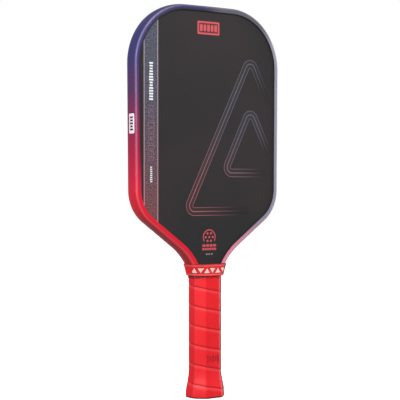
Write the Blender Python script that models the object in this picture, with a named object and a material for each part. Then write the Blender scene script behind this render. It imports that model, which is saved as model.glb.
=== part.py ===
"""Elongated pickleball paddle: a bonded carbon and honeycomb head on a wrapped, eight-sided handle.

Units are metres. Z runs from the butt to the crown and X across the face. The front face looks
along -Y. The origin is the middle of the butt end, which lies on Z = 0.
"""
import math

import bmesh
import bpy
from mathutils import Vector

# Clearance left between pieces that touch on the real paddle.
GAP = 0.0003

# Head outline, measured over the edge guard.
LENGTH = 0.4191
HEAD_WIDTH = 0.1905
HANDLE_LENGTH = 0.1400
THROAT_WIDTH = 0.0418
THROAT_ANGLE = math.radians(29.3)
NECK_RADIUS = 0.0646
DIAGONAL_ANGLE = math.radians(53.9)
SHOULDER_RADIUS = 0.0423
SIDE_TAPER = math.radians(0.47)
CORNER_RADIUS = 0.0647
CROWN_RADIUS = 2.376
ARC_STEP = math.radians(6.0)

# Sandwich of the head: two face sheets on a core, with foam round the rim.
PADDLE_THICKNESS = 0.0160
SHEET_THICKNESS = 0.0008
FOAM_WALL_WIDTH = 0.0080
CELL_PITCH = 0.0150
CELL_WALL = 0.0009
CORE_RIM = 0.0012
NECK_JOINT_ABOVE_THROAT = 0.0100

# Edge guard: a channel whose lips lie over both faces.
GUARD_WALL = 0.0016
GUARD_LIP = 0.0065
GUARD_LIP_THICKNESS = 0.0009
GUARD_CORNER = 0.0024
GUARD_CORNER_STEPS = 4

# Handle, measured over the wrap.
GRIP_WIDTH = 0.0351
GRIP_DEPTH = 0.0292
GRIP_CORNER_CUT = 0.0086
WRAP_THICKNESS = 0.0017
WRAP_PITCH = 0.0208
WRAP_SEAM = 0.0003
WRAP_TIP = 0.0006
WRAP_STEPS_PER_FACET = 2
WRAP_ROWS = 4

# Butt end.
FLARE_OUT = 0.0033
FLARE_TOP = 0.0280
FLARE_BOTTOM = 0.0040
CAP_RIM_HEIGHT = 0.0012
CAP_RIM_CHAMFER = 0.0004
CAP_FLOOR = 0.0035
CAP_WALL = 0.0013
CAP_TOP = 0.0300
CAP_LEVELS = 6
MEDALLION_RADIUS = 0.0120
MEDALLION_THICKNESS = 0.0009
MEDALLION_SEGMENTS = 48

# Core tongue and the two handle pallets glued to it.
TONGUE_ABOVE_CAP = 0.0020
PALLET_CORNER_WALL = 0.0011
PALLET_RAMP = 0.0030

# Collar and the tape under it.
COLLAR_ABOVE_THROAT = 0.0029
COLLAR_HEIGHT = 0.0123
COLLAR_WALL = 0.0012
COLLAR_TOP_WIDTH = 0.0460
COLLAR_SIDE_FACET = 0.0156
COLLAR_BEAD = 0.0004
COLLAR_BEAD_HEIGHT = 0.0013
TAPE_THICKNESS = 0.0004
TAPE_WIDTH = 0.0051
WRAP_UNDER_COLLAR = 0.0059

# Sizes that follow from the ones above.
HALF_THICKNESS = PADDLE_THICKNESS / 2
CORE_HALF = HALF_THICKNESS - SHEET_THICKNESS - GAP
GUARD_HALF = HALF_THICKNESS + GAP + GUARD_LIP_THICKNESS
SANDWICH_INSET = GUARD_WALL + GAP
COLLAR_TOP = HANDLE_LENGTH + COLLAR_ABOVE_THROAT
COLLAR_BOTTOM = COLLAR_TOP - COLLAR_HEIGHT
NECK_JOINT = HANDLE_LENGTH + NECK_JOINT_ABOVE_THROAT
WRAP_BOTTOM = CAP_RIM_HEIGHT + GAP
WRAP_TOP = COLLAR_BOTTOM + WRAP_UNDER_COLLAR
PALLET_INSET = WRAP_THICKNESS + GAP
SPIGOT_INSET = PALLET_INSET + CAP_WALL + GAP
TONGUE_BOTTOM = CAP_TOP + TONGUE_ABOVE_CAP


def clear_scene():
    for obj in list(bpy.data.objects):
        bpy.data.objects.remove(obj, do_unlink=True)


def make_collection(name):
    collection = bpy.data.collections.new(name)
    bpy.context.scene.collection.children.link(collection)
    return collection


def make_material(name, colour, roughness, metallic=0.0):
    material = bpy.data.materials.new(name)
    material.use_nodes = True
    shader = material.node_tree.nodes["Principled BSDF"]
    shader.inputs["Base Color"].default_value = (*colour, 1.0)
    shader.inputs["Roughness"].default_value = roughness
    shader.inputs["Metallic"].default_value = metallic
    return material


def add_part(name, mesh, colour, roughness, metallic=0.0):
    mesh.materials.clear()
    mesh.materials.append(make_material(name, colour, roughness, metallic))
    obj = bpy.data.objects.new(name, mesh)
    PARTS.objects.link(obj)
    return obj


def add_cutter(name, mesh):
    obj = bpy.data.objects.new(name, mesh)
    obj.hide_render = True
    obj.display_type = "WIRE"
    CUTTERS.objects.link(obj)
    return obj


def cut(obj, cutter):
    modifier = obj.modifiers.new("cut_" + cutter.name, "BOOLEAN")
    modifier.operation = "DIFFERENCE"
    modifier.solver = "EXACT"
    modifier.object = cutter


def mesh_from_curve(name, curve):
    """Bake a curve drawn in X and Y into a welded mesh that stands in X and Z."""
    source = bpy.data.objects.new(name, curve)
    bpy.context.scene.collection.objects.link(source)
    depsgraph = bpy.context.evaluated_depsgraph_get()
    mesh = bpy.data.meshes.new_from_object(source.evaluated_get(depsgraph))
    bpy.data.objects.remove(source, do_unlink=True)
    shape = bmesh.new()
    shape.from_mesh(mesh)
    bmesh.ops.remove_doubles(shape, verts=shape.verts, dist=0.00001)
    for vert in shape.verts:
        vert.co = Vector((vert.co.x, -vert.co.z, vert.co.y))
    bmesh.ops.recalc_face_normals(shape, faces=shape.faces)
    shape.to_mesh(mesh)
    shape.free()
    mesh.name = name
    return mesh


def poly_curve(name, points, cyclic):
    curve = bpy.data.curves.new(name, "CURVE")
    curve.dimensions = "2D"
    spline = curve.splines.new("POLY")
    spline.points.add(len(points) - 1)
    for spline_point, point in zip(spline.points, points):
        spline_point.co = (point[0], point[1], 0.0, 1.0)
    spline.use_cyclic_u = cyclic
    return curve


def plate(name, outline, half_thickness, centre_y=0.0):
    """Flat plate with the given outline in X and Z, centred on the plane Y = centre_y."""
    curve = poly_curve(name, outline, cyclic=True)
    curve.fill_mode = "BOTH"
    curve.extrude = half_thickness
    mesh = mesh_from_curve(name, curve)
    for vert in mesh.vertices:
        vert.co.y += centre_y
    return mesh


def loft(name, rings, closed=False):
    """Skin rings of equal point counts. A closed loft joins its last ring to its first."""
    shape = bmesh.new()
    loops = [[shape.verts.new(point) for point in ring] for ring in rings]
    count = len(rings[0])
    pairs = list(zip(loops, loops[1:]))
    if closed:
        pairs.append((loops[-1], loops[0]))
    else:
        shape.faces.new(loops[0])
        shape.faces.new(list(reversed(loops[-1])))
    for lower, upper in pairs:
        for i in range(count):
            j = (i + 1) % count
            shape.faces.new((lower[i], lower[j], upper[j], upper[i]))
    bmesh.ops.recalc_face_normals(shape, faces=shape.faces)
    mesh = bpy.data.meshes.new(name)
    shape.to_mesh(mesh)
    shape.free()
    return mesh


def box_mesh(name, low, high):
    shape = bmesh.new()
    bmesh.ops.create_cube(shape, size=1.0)
    for vert in shape.verts:
        for axis in range(3):
            share = vert.co[axis] + 0.5
            vert.co[axis] = low[axis] + share * (high[axis] - low[axis])
    mesh = bpy.data.meshes.new(name)
    shape.to_mesh(mesh)
    shape.free()
    return mesh


# ---- Head outline ----------------------------------------------------------------------------

def cross(a, b):
    return a.x * b.y - a.y * b.x


def normal(angle):
    """Outward normal of an edge that leans outwards by this angle as it rises."""
    return Vector((math.cos(angle), -math.sin(angle)))


def along(angle):
    return Vector((math.sin(angle), math.cos(angle)))


def arc(centre, radius, start, end):
    count = max(1, math.ceil(abs(end - start) / ARC_STEP))
    angles = [start + (end - start) * i / count for i in range(count + 1)]
    return [centre + radius * normal(angle) for angle in angles]


def neck_centre():
    throat = Vector((THROAT_WIDTH / 2, HANDLE_LENGTH))
    return throat + NECK_RADIUS * normal(THROAT_ANGLE)


def half_outline(inset, low_z):
    """Right half of the head, from the height low_z up to the middle of the crown."""
    crown_centre = Vector((0.0, LENGTH - CROWN_RADIUS))
    corner_x = HEAD_WIDTH / 2 - CORNER_RADIUS
    reach = CROWN_RADIUS - CORNER_RADIUS
    crown_half_angle = math.asin(corner_x / reach)
    corner_centre = Vector((corner_x, crown_centre.y + reach * math.cos(crown_half_angle)))
    neck = neck_centre()
    # The shoulder arc touches the tapered side above it and the diagonal below it.
    side_base = corner_centre + (CORNER_RADIUS - SHOULDER_RADIUS) * normal(SIDE_TAPER)
    diagonal_base = neck - (NECK_RADIUS + SHOULDER_RADIUS) * normal(DIAGONAL_ANGLE)
    side = along(SIDE_TAPER)
    diagonal = along(DIAGONAL_ANGLE)
    run = cross(side_base - diagonal_base, side) / cross(diagonal, side)
    shoulder_centre = diagonal_base + run * diagonal
    low_angle = math.asin((low_z - neck.y) / (NECK_RADIUS + inset))
    crown_start = crown_half_angle - math.pi / 2
    points = arc(neck, -(NECK_RADIUS + inset), low_angle, DIAGONAL_ANGLE)
    points += arc(shoulder_centre, SHOULDER_RADIUS - inset, DIAGONAL_ANGLE, SIDE_TAPER)
    points += arc(corner_centre, CORNER_RADIUS - inset, SIDE_TAPER, crown_start)
    points += arc(crown_centre, CROWN_RADIUS - inset, crown_start, -math.pi / 2)[1:]
    points[-1].x = 0.0
    return points


def mirrored(points):
    """Close a right half with its mirror image, without doubling points on the middle line."""
    left = [Vector((-point.x, point.y)) for point in reversed(points) if point.x > GAP / 10]
    return points + left


def neck_edge(inset, spare):
    """Right edge of the sandwich inside the collar and handle, with spare room round it."""
    shoulder_top = COLLAR_TOP - COLLAR_WALL
    neck = neck_centre()
    angle = math.asin((shoulder_top - neck.y) / (NECK_RADIUS + inset))
    start = neck - (NECK_RADIUS + inset) * normal(angle)
    half_width = tongue_half_width() + spare
    shoulder_low = WRAP_TOP + 2 * GAP - spare
    return [
        Vector((half_width, TONGUE_BOTTOM - spare)),
        Vector((half_width, shoulder_low)),
        start,
    ]


def sandwich_outline(inset, spare=0.0):
    """Whole outline of a face sheet: tongue, neck and head."""
    edge = neck_edge(inset, spare)
    return mirrored(edge[:-1] + half_outline(inset, edge[-1].y))


# ---- Handle sections -------------------------------------------------------------------------

def octagon(half_width, half_depth, corner_cut):
    """Corners of the section, going clockwise seen from above, from the front facet's right end."""
    near_x = half_width - corner_cut
    near_y = half_depth - corner_cut
    return [
        (near_x, -half_depth),
        (-near_x, -half_depth),
        (-half_width, -near_y),
        (-half_width, near_y),
        (-near_x, half_depth),
        (near_x, half_depth),
        (half_width, near_y),
        (half_width, -near_y),
    ]


def grip_section(offset):
    """Section of the handle grown outwards by offset from the outside of the wrap."""
    cut_growth = offset * (2.0 - math.sqrt(2.0))
    return octagon(GRIP_WIDTH / 2 + offset, GRIP_DEPTH / 2 + offset, GRIP_CORNER_CUT + cut_growth)


def ring(section, z):
    return [(x, y, z) for x, y in section]


def flare(z):
    """How far the butt end stands out beyond the straight handle at this height."""
    share = (FLARE_TOP - z) / (FLARE_TOP - FLARE_BOTTOM)
    share = min(max(share, 0.0), 1.0)
    return FLARE_OUT * share * share * (3.0 - 2.0 * share)


def tongue_half_width():
    """Widest tongue that leaves each pallet its corner wall where the bevel facet is nearest."""
    section = grip_section(-PALLET_INSET)
    side_half = abs(section[2][1])
    channel_half = HALF_THICKNESS + GAP
    bevel_x = section[6][0] - (channel_half - side_half)
    return bevel_x - PALLET_CORNER_WALL * math.sqrt(2.0) - GAP


# ---- Head pieces -----------------------------------------------------------------------------

def build_face_sheets():
    outline = sandwich_outline(SANDWICH_INSET)
    middle = HALF_THICKNESS - SHEET_THICKNESS / 2
    for name, side in (("front_face_sheet", -1.0), ("back_face_sheet", 1.0)):
        mesh = plate(name, outline, SHEET_THICKNESS / 2, side * middle)
        add_part(name, mesh, (0.045, 0.043, 0.043), 0.55)


def build_foam_edge_wall():
    low = NECK_JOINT + GAP / 2
    outer = half_outline(SANDWICH_INSET, low)
    inner = half_outline(SANDWICH_INSET + FOAM_WALL_WIDTH, low)
    inner_left_to_right = list(reversed(mirrored(inner)))
    mesh = plate("foam_edge_wall", mirrored(outer) + inner_left_to_right, CORE_HALF)
    add_part("foam_edge_wall", mesh, (0.75, 0.72, 0.62), 0.8)


def inside(point, outline):
    """Even-odd test of a point against a closed outline."""
    hit = False
    for a, b in zip(outline, outline[1:] + outline[:1]):
        if (a.y > point.y) != (b.y > point.y):
            x = a.x + (point.y - a.y) * (b.x - a.x) / (b.y - a.y)
            if point.x < x:
                hit = not hit
    return hit


def hexagon(centre, radius):
    return [centre + radius * along(math.radians(60 * i)) for i in range(6)]


def build_honeycomb_core():
    """Core plate pierced by rows of six-sided cells, which run through its thickness."""
    inset = SANDWICH_INSET + FOAM_WALL_WIDTH + GAP
    low = NECK_JOINT + GAP / 2
    outline = mirrored(half_outline(inset, low))
    core = add_part(
        "honeycomb_core", plate("honeycomb_core", outline, CORE_HALF), (0.80, 0.82, 0.84), 0.6)
    limit = mirrored(half_outline(inset + CORE_RIM, low))
    cell_radius = (CELL_PITCH - CELL_WALL) / math.sqrt(3.0)
    row_pitch = CELL_PITCH * math.sqrt(3.0) / 2
    columns = math.ceil(HEAD_WIDTH / CELL_PITCH / 2)
    rows = math.ceil((LENGTH - low) / row_pitch)
    cells = bmesh.new()
    for row in range(rows):
        shift = 0.5 * (row % 2)
        for column in range(-columns, columns + 1):
            centre = Vector(((column + shift) * CELL_PITCH, low + (row + 0.5) * row_pitch))
            corners = hexagon(centre, cell_radius)
            clear = all(inside(c, limit) and c.y > low + CORE_RIM for c in corners)
            if clear:
                add_prism(cells, corners, CORE_HALF + GAP)
    mesh = bpy.data.meshes.new("cell_cutter")
    bmesh.ops.recalc_face_normals(cells, faces=cells.faces)
    cells.to_mesh(mesh)
    cells.free()
    cut(core, add_cutter("cell_cutter", mesh))


def add_prism(shape, corners, half_length):
    """Add a six-sided prism along Y to the bmesh."""
    front = [shape.verts.new((c.x, -half_length, c.y)) for c in corners]
    back = [shape.verts.new((c.x, half_length, c.y)) for c in corners]
    shape.faces.new(front)
    shape.faces.new(list(reversed(back)))
    for i in range(len(corners)):
        j = (i + 1) % len(corners)
        shape.faces.new((front[i], front[j], back[j], back[i]))


def guard_section():
    """Closed section of the channel: X is outwards from the rim, Y is across the thickness."""
    centre = GUARD_HALF - GUARD_CORNER
    outer = []
    for side in (-1.0, 1.0):
        for i in range(GUARD_CORNER_STEPS + 1):
            turn = math.pi / 2 * i / GUARD_CORNER_STEPS
            if side < 0:
                turn = math.pi / 2 - turn
            x = -GUARD_CORNER + GUARD_CORNER * math.cos(turn)
            outer.append((x, side * (centre + GUARD_CORNER * math.sin(turn))))
    lip_inside = GUARD_HALF - GUARD_LIP_THICKNESS
    inner = [
        (-GUARD_LIP, GUARD_HALF),
        (-GUARD_LIP, lip_inside),
        (-GUARD_WALL, lip_inside),
        (-GUARD_WALL, -lip_inside),
        (-GUARD_LIP, -lip_inside),
        (-GUARD_LIP, -GUARD_HALF),
    ]
    return outer + inner


def build_edge_guard():
    """Channel swept from throat to throat, then cut level just above the collar."""
    path_points = mirrored(half_outline(0.0, COLLAR_TOP - GUARD_LIP))
    path = poly_curve("guard_path", path_points, cyclic=False)
    section = poly_curve("guard_section", guard_section(), cyclic=True)
    section_object = bpy.data.objects.new("guard_section", section)
    bpy.context.scene.collection.objects.link(section_object)
    path.bevel_mode = "OBJECT"
    path.bevel_object = section_object
    path.use_fill_caps = True
    mesh = mesh_from_curve("edge_guard", path)
    bpy.data.objects.remove(section_object, do_unlink=True)
    guard = add_part("edge_guard", mesh, (0.55, 0.03, 0.10), 0.35)
    reach = THROAT_WIDTH
    low = (-reach, -2 * GUARD_HALF, COLLAR_TOP - 4 * GUARD_LIP)
    high = (reach, 2 * GUARD_HALF, COLLAR_TOP + GAP)
    cut(guard, add_cutter("guard_end_cutter", box_mesh("guard_end_cutter", low, high)))


# ---- Handle pieces ---------------------------------------------------------------------------

def build_handle_core():
    top = NECK_JOINT - GAP / 2
    edge = neck_edge(SANDWICH_INSET, 0.0)
    neck = neck_centre()
    radius = NECK_RADIUS + SANDWICH_INSET
    start = math.asin((edge[-1].y - neck.y) / radius)
    end = math.asin((top - neck.y) / radius)
    right = edge[:-1] + arc(neck, -radius, start, end)
    mesh = plate("handle_core", mirrored(right), CORE_HALF)
    add_part("handle_core", mesh, (0.70, 0.66, 0.52), 0.85)


def neck_cutter():
    """Room for the sandwich inside the pallets and through the top of the collar."""
    outline = sandwich_outline(SANDWICH_INSET - GAP, GAP)
    return add_cutter("neck_cutter", plate("neck_cutter", outline, HALF_THICKNESS + GAP))


def build_pallets(cutter):
    """Two half-octagon shells that meet round the tongue and plug into the butt cap."""
    top = COLLAR_TOP - COLLAR_WALL - GAP
    spigot = grip_section(-SPIGOT_INSET)
    body = grip_section(-PALLET_INSET)
    ramp = grip_section(-PALLET_INSET - PALLET_RAMP / 2)
    rings = [
        ring(spigot, CAP_FLOOR + GAP),
        ring(spigot, CAP_TOP + GAP),
        ring(body, CAP_TOP + GAP),
        ring(body, top - PALLET_RAMP),
        ring(ramp, top),
    ]
    reach = GRIP_WIDTH
    for name, side in (("front_handle_pallet", 1.0), ("back_handle_pallet", -1.0)):
        pallet = add_part(name, loft(name, rings), (0.06, 0.06, 0.065), 0.8)
        near = -side * GAP / 2
        far = side * GRIP_DEPTH
        low = (-reach, min(near, far), 0.0)
        high = (reach, max(near, far), LENGTH)
        half_name = name + "_half_cutter"
        cut(pallet, add_cutter(half_name, box_mesh(half_name, low, high)))
        cut(pallet, cutter)


def build_butt_cap():
    """Flared cup with a thin rim under the wrap and a round recess for the medallion."""
    rim = flare(0.0)
    levels = [WRAP_BOTTOM - GAP]
    for i in range(1, CAP_LEVELS + 1):
        levels.append(FLARE_BOTTOM + (FLARE_TOP - FLARE_BOTTOM) * i / CAP_LEVELS)
    rings = [
        ring(grip_section(rim - CAP_RIM_CHAMFER), 0.0),
        ring(grip_section(rim), CAP_RIM_CHAMFER),
        ring(grip_section(rim), CAP_RIM_HEIGHT),
    ]
    rings += [ring(grip_section(flare(z) - PALLET_INSET), z) for z in levels]
    rings += [
        ring(grip_section(-PALLET_INSET), CAP_TOP),
        ring(grip_section(-SPIGOT_INSET + GAP), CAP_TOP),
        ring(grip_section(-SPIGOT_INSET + GAP), CAP_FLOOR),
    ]
    cap = add_part("butt_cap", loft("butt_cap", rings), (0.02, 0.02, 0.022), 0.45)
    depth = MEDALLION_THICKNESS + 2 * GAP
    mesh = disc_mesh("medallion_cutter", MEDALLION_RADIUS + GAP, -depth, depth)
    cut(cap, add_cutter("medallion_cutter", mesh))


def disc_mesh(name, radius, low, high):
    shape = bmesh.new()
    bmesh.ops.create_cone(
        shape, cap_ends=True, segments=MEDALLION_SEGMENTS,
        radius1=radius, radius2=radius, depth=high - low)
    bmesh.ops.translate(shape, verts=shape.verts, vec=(0.0, 0.0, (low + high) / 2))
    mesh = bpy.data.meshes.new(name)
    shape.to_mesh(mesh)
    shape.free()
    return mesh


def build_medallion():
    mesh = disc_mesh("butt_medallion", MEDALLION_RADIUS, GAP, GAP + MEDALLION_THICKNESS)
    medallion = add_part("butt_medallion", mesh, (0.60, 0.02, 0.03), 0.35)
    medallion.data.shade_smooth()
    medallion.data.set_sharp_from_angle(angle=math.radians(40))


def wrap_point(walk, offset, z):
    """Point on the handle section, walk corners round from the front facet's right end."""
    corners = grip_section(flare(z) + offset)
    index = math.floor(walk)
    share = walk - index
    a = corners[index % 8]
    b = corners[(index + 1) % 8]
    return (a[0] + share * (b[0] - a[0]), a[1] + share * (b[1] - a[1]), z)


def build_grip_wrap():
    """One strip wound up the handle edge to edge, its ends cut level with butt and collar."""
    width = WRAP_PITCH - WRAP_SEAM
    steps_per_turn = 8 * WRAP_STEPS_PER_FACET
    climb = WRAP_PITCH / steps_per_turn
    first = math.ceil((WRAP_TIP - width) / climb)
    last = math.floor((WRAP_TOP - WRAP_BOTTOM - WRAP_TIP) / climb)
    rings = []
    for step in range(first, last + 1):
        walk = step / WRAP_STEPS_PER_FACET
        raw = WRAP_BOTTOM + step * climb
        low = max(raw, WRAP_BOTTOM)
        high = min(raw + width, WRAP_TOP)
        heights = [low + (high - low) * i / WRAP_ROWS for i in range(WRAP_ROWS + 1)]
        inner = [wrap_point(walk, -WRAP_THICKNESS, z) for z in heights]
        outer = [wrap_point(walk, 0.0, z) for z in reversed(heights)]
        rings.append(inner + outer)
    add_part("grip_wrap", loft("grip_wrap", rings), (0.85, 0.03, 0.03), 0.5)


def build_finishing_tape():
    low = WRAP_TOP - TAPE_WIDTH
    inner = grip_section(GAP)
    outer = grip_section(GAP + TAPE_THICKNESS)
    rings = [ring(inner, low), ring(outer, low), ring(outer, WRAP_TOP), ring(inner, WRAP_TOP)]
    add_part("finishing_tape", loft("finishing_tape", rings, closed=True), (0.45, 0.01, 0.02), 0.4)


def build_collar(cutter):
    """Rubber band, wider at the top, whose top closes in round the neck of the sandwich."""
    grown = TAPE_THICKNESS + 2 * GAP + COLLAR_WALL
    low_section = grip_section(grown)
    low_inner = grip_section(grown - COLLAR_WALL)
    half_depth = GRIP_DEPTH / 2 + grown
    wall_cut = COLLAR_WALL * (2.0 - math.sqrt(2.0))
    top_cut = half_depth - COLLAR_SIDE_FACET / 2
    top_section = octagon(COLLAR_TOP_WIDTH / 2, half_depth, top_cut)
    top_inner = octagon(
        COLLAR_TOP_WIDTH / 2 - COLLAR_WALL, half_depth - COLLAR_WALL, top_cut - wall_cut)

    def between(a, b, z, grow=0.0):
        share = (z - COLLAR_BOTTOM) / COLLAR_HEIGHT
        points = []
        for p, q in zip(a, b):
            x = p[0] + share * (q[0] - p[0])
            y = p[1] + share * (q[1] - p[1])
            points.append((x + math.copysign(grow, x), y + math.copysign(grow, y), z))
        return points

    bead_low = COLLAR_BOTTOM + COLLAR_BEAD_HEIGHT
    bead_high = COLLAR_TOP - COLLAR_BEAD_HEIGHT
    roof = COLLAR_TOP - COLLAR_WALL
    rings = [
        between(low_inner, top_inner, roof),
        between(low_inner, top_inner, COLLAR_BOTTOM),
        between(low_section, top_section, COLLAR_BOTTOM, COLLAR_BEAD),
        between(low_section, top_section, bead_low, COLLAR_BEAD),
        between(low_section, top_section, bead_low + COLLAR_BEAD),
        between(low_section, top_section, bead_high - COLLAR_BEAD),
        between(low_section, top_section, bead_high, COLLAR_BEAD),
        between(low_section, top_section, COLLAR_TOP, COLLAR_BEAD),
    ]
    collar = add_part("collar_band", loft("collar_band", rings), (0.75, 0.03, 0.03), 0.5)
    cut(collar, cutter)


clear_scene()
PARTS = make_collection("pickleball_paddle")
CUTTERS = make_collection("cutters")
build_face_sheets()
build_honeycomb_core()
build_foam_edge_wall()
build_edge_guard()
build_handle_core()
NECK_CUTTER = neck_cutter()
build_pallets(NECK_CUTTER)
build_butt_cap()
build_medallion()
build_grip_wrap()
build_finishing_tape()
build_collar(NECK_CUTTER)
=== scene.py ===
"""Looks of an elongated pickleball paddle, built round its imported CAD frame.

Units are metres. Z runs from the butt to the crown and X across the face. The front face looks
along -Y.
"""

import math

import bmesh
import bpy
from mathutils import Matrix, Vector


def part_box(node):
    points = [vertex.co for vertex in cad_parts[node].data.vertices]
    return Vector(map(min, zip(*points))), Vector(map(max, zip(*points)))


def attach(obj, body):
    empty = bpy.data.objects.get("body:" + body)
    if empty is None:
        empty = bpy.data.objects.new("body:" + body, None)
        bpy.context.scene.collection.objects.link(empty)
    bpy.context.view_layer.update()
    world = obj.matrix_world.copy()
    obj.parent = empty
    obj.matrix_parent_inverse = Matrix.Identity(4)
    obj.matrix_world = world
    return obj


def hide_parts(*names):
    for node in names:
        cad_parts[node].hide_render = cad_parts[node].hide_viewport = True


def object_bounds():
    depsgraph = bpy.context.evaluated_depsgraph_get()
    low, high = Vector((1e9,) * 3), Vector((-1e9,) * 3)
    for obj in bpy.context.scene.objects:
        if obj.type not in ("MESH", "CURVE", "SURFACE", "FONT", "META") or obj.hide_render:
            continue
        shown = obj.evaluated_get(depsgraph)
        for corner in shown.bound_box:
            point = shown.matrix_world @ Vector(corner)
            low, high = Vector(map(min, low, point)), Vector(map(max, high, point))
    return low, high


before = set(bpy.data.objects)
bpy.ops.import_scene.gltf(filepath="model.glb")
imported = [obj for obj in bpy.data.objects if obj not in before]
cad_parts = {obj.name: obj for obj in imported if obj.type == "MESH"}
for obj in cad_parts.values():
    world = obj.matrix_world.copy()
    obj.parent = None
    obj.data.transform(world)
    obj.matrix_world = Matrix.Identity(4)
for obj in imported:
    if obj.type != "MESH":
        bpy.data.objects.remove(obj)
cad_low, cad_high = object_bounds()


# ---- Face sheets -----------------------------------------------------------------------------
# The two hitting faces are raw carbon cloth in resin, 0.8 mm thick, pressed flat on the core.
# A peel ply pulled off the cured resin leaves the fine grit that bites on the ball.

TOW_WIDTH = 0.0022
PEEL_PLY_PITCH = 0.00055
FACE_BLACK = "282627"
FACE_WARM = "302a2b"
FACE_COOL = "252727"
CLOTH_SHINE = 0.14


def paint(code):
    """Linear colour of a six-digit colour code."""
    values = [int(code[i:i + 2], 16) / 255 for i in (0, 2, 4)]
    linear = [v / 12.92 if v < 0.04045 else ((v + 0.055) / 1.055) ** 2.4 for v in values]
    return (*linear, 1.0)


def node(tree, kind, inputs=None, **settings):
    """Add a node. An input given as a socket is linked, and anything else is set as its value."""
    made = tree.nodes.new(kind)
    for key, value in settings.items():
        setattr(made, key, value)
    for key, value in (inputs or {}).items():
        if isinstance(value, bpy.types.NodeSocket):
            tree.links.new(value, made.inputs[key])
        else:
            made.inputs[key].default_value = value
    return made


def maths(tree, operation, a, b=0.0):
    return node(tree, "ShaderNodeMath", {0: a, 1: b}, operation=operation).outputs[0]


def times(tree, a, b):
    return maths(tree, "MULTIPLY", a, b)


def plus(tree, a, b):
    return maths(tree, "ADD", a, b)


def minus(tree, a, b):
    return maths(tree, "SUBTRACT", a, b)


def blend(tree, factor, a, b):
    """Mix two colours."""
    return node(tree, "ShaderNodeMix", {0: factor, 6: a, 7: b}, data_type="RGBA").outputs[2]


def tint(tree, colour, mask, strength, code):
    """Lay a new colour over an old one where a mask lets it through."""
    return blend(tree, times(tree, mask, strength), colour, paint(code))


def between(tree, value, low, high):
    """0 below low, 1 above high, and smooth between them."""
    inputs = {"Value": value, "From Min": low, "From Max": high}
    return node(tree, "ShaderNodeMapRange", inputs, interpolation_type="SMOOTHSTEP").outputs[0]


def object_place(tree):
    return node(tree, "ShaderNodeTexCoord").outputs["Object"]


def noise(tree, scale, detail=2.0, stretch=(1.0, 1.0, 1.0)):
    """Noise on Object coordinates, with scale in cells per metre."""
    mapping = node(tree, "ShaderNodeMapping", {"Vector": object_place(tree), "Scale": stretch})
    inputs = {"Vector": mapping.outputs[0], "Scale": scale, "Detail": detail}
    return node(tree, "ShaderNodeTexNoise", inputs).outputs[0]


def place_axes(tree):
    """X, Y and Z of Object coordinates."""
    return node(tree, "ShaderNodeSeparateXYZ", {0: object_place(tree)}).outputs


def bump(tree, height, distance, strength=1.0, under=None):
    inputs = {"Height": height, "Distance": distance, "Strength": strength}
    if under:
        inputs["Normal"] = under
    return node(tree, "ShaderNodeBump", inputs).outputs[0]


def start_material(name, **constants):
    """New material and its tree. The constants go straight on the shader's own sockets."""
    material = bpy.data.materials.new(name)
    material.use_nodes = True
    shader = material.node_tree.nodes["Principled BSDF"]
    for label, value in constants.items():
        shader.inputs[label.replace("_", " ")].default_value = value
    return material, material.node_tree


def feed(material, **links):
    """Link finished colour, roughness or normal sockets into the shader."""
    tree = material.node_tree
    shader = tree.nodes["Principled BSDF"]
    for label, socket in links.items():
        tree.links.new(socket, shader.inputs[label.replace("_", " ")])
    return material


def dress(node_name, material):
    """Put a material on a CAD node that keeps its own mesh."""
    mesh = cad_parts[node_name].data
    mesh.materials.clear()
    mesh.materials.append(material)


def face_colour(tree):
    """Black of the cured face: a little warm in the middle and cool towards the throat."""
    z = place_axes(tree)["Z"]
    drift = between(tree, z, 0.15, 0.24)
    base = blend(tree, drift, paint(FACE_COOL), paint(FACE_BLACK))
    warm = between(tree, noise(tree, 9.0, 1.0), 0.42, 0.62)
    return tint(tree, base, warm, 0.8, FACE_WARM)


def make_carbon():
    """Twill of flat tows under a film of resin that carries the peel ply's print."""
    material, tree = start_material("raw carbon", Specular_IOR_Level=CLOTH_SHINE)
    axes = place_axes(tree)
    across = maths(tree, "DIVIDE", axes["X"], TOW_WIDTH)
    up = maths(tree, "DIVIDE", axes["Z"], TOW_WIDTH)
    column = maths(tree, "FLOOR", across)
    row = maths(tree, "FLOOR", up)
    step = maths(tree, "WRAP", plus(tree, column, row), 4.0)
    over = maths(tree, "LESS_THAN", step, 1.5)
    warp = maths(tree, "SINE", times(tree, across, math.pi))
    weft = maths(tree, "SINE", times(tree, up, math.pi))
    picked = node(tree, "ShaderNodeMix", {0: over, 2: weft, 3: warp}, data_type="FLOAT").outputs[0]
    tow = maths(tree, "ABSOLUTE", picked)
    ply_x = maths(tree, "SINE", times(tree, axes["X"], math.tau / PEEL_PLY_PITCH))
    ply_z = maths(tree, "SINE", times(tree, axes["Z"], math.tau / PEEL_PLY_PITCH))
    ply = times(tree, ply_x, ply_z)
    grit = noise(tree, 1400.0, 3.0)
    shade = plus(tree, times(tree, over, 0.06), times(tree, grit, 0.35))
    lighter = blend(tree, shade, face_colour(tree), paint("383536"))
    weave = bump(tree, tow, 0.00003, 0.25)
    printed = bump(tree, plus(tree, ply, grit), 0.00004, 0.5, weave)
    rough = plus(tree, 0.48, times(tree, grit, 0.22))
    return feed(material, Base_Color=lighter, Roughness=rough, Normal=printed)


carbon = make_carbon()
dress("front_face_sheet", carbon)
dress("back_face_sheet", carbon)
FACE_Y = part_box("back_face_sheet")[1].y


# ---- Head outline ----------------------------------------------------------------------------
# The rim of the head is one chain of tangent arcs: a hollow neck, a shoulder, a nearly straight
# side, a round corner and a flat crown. Every edge piece of the head follows it, inset.

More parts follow.
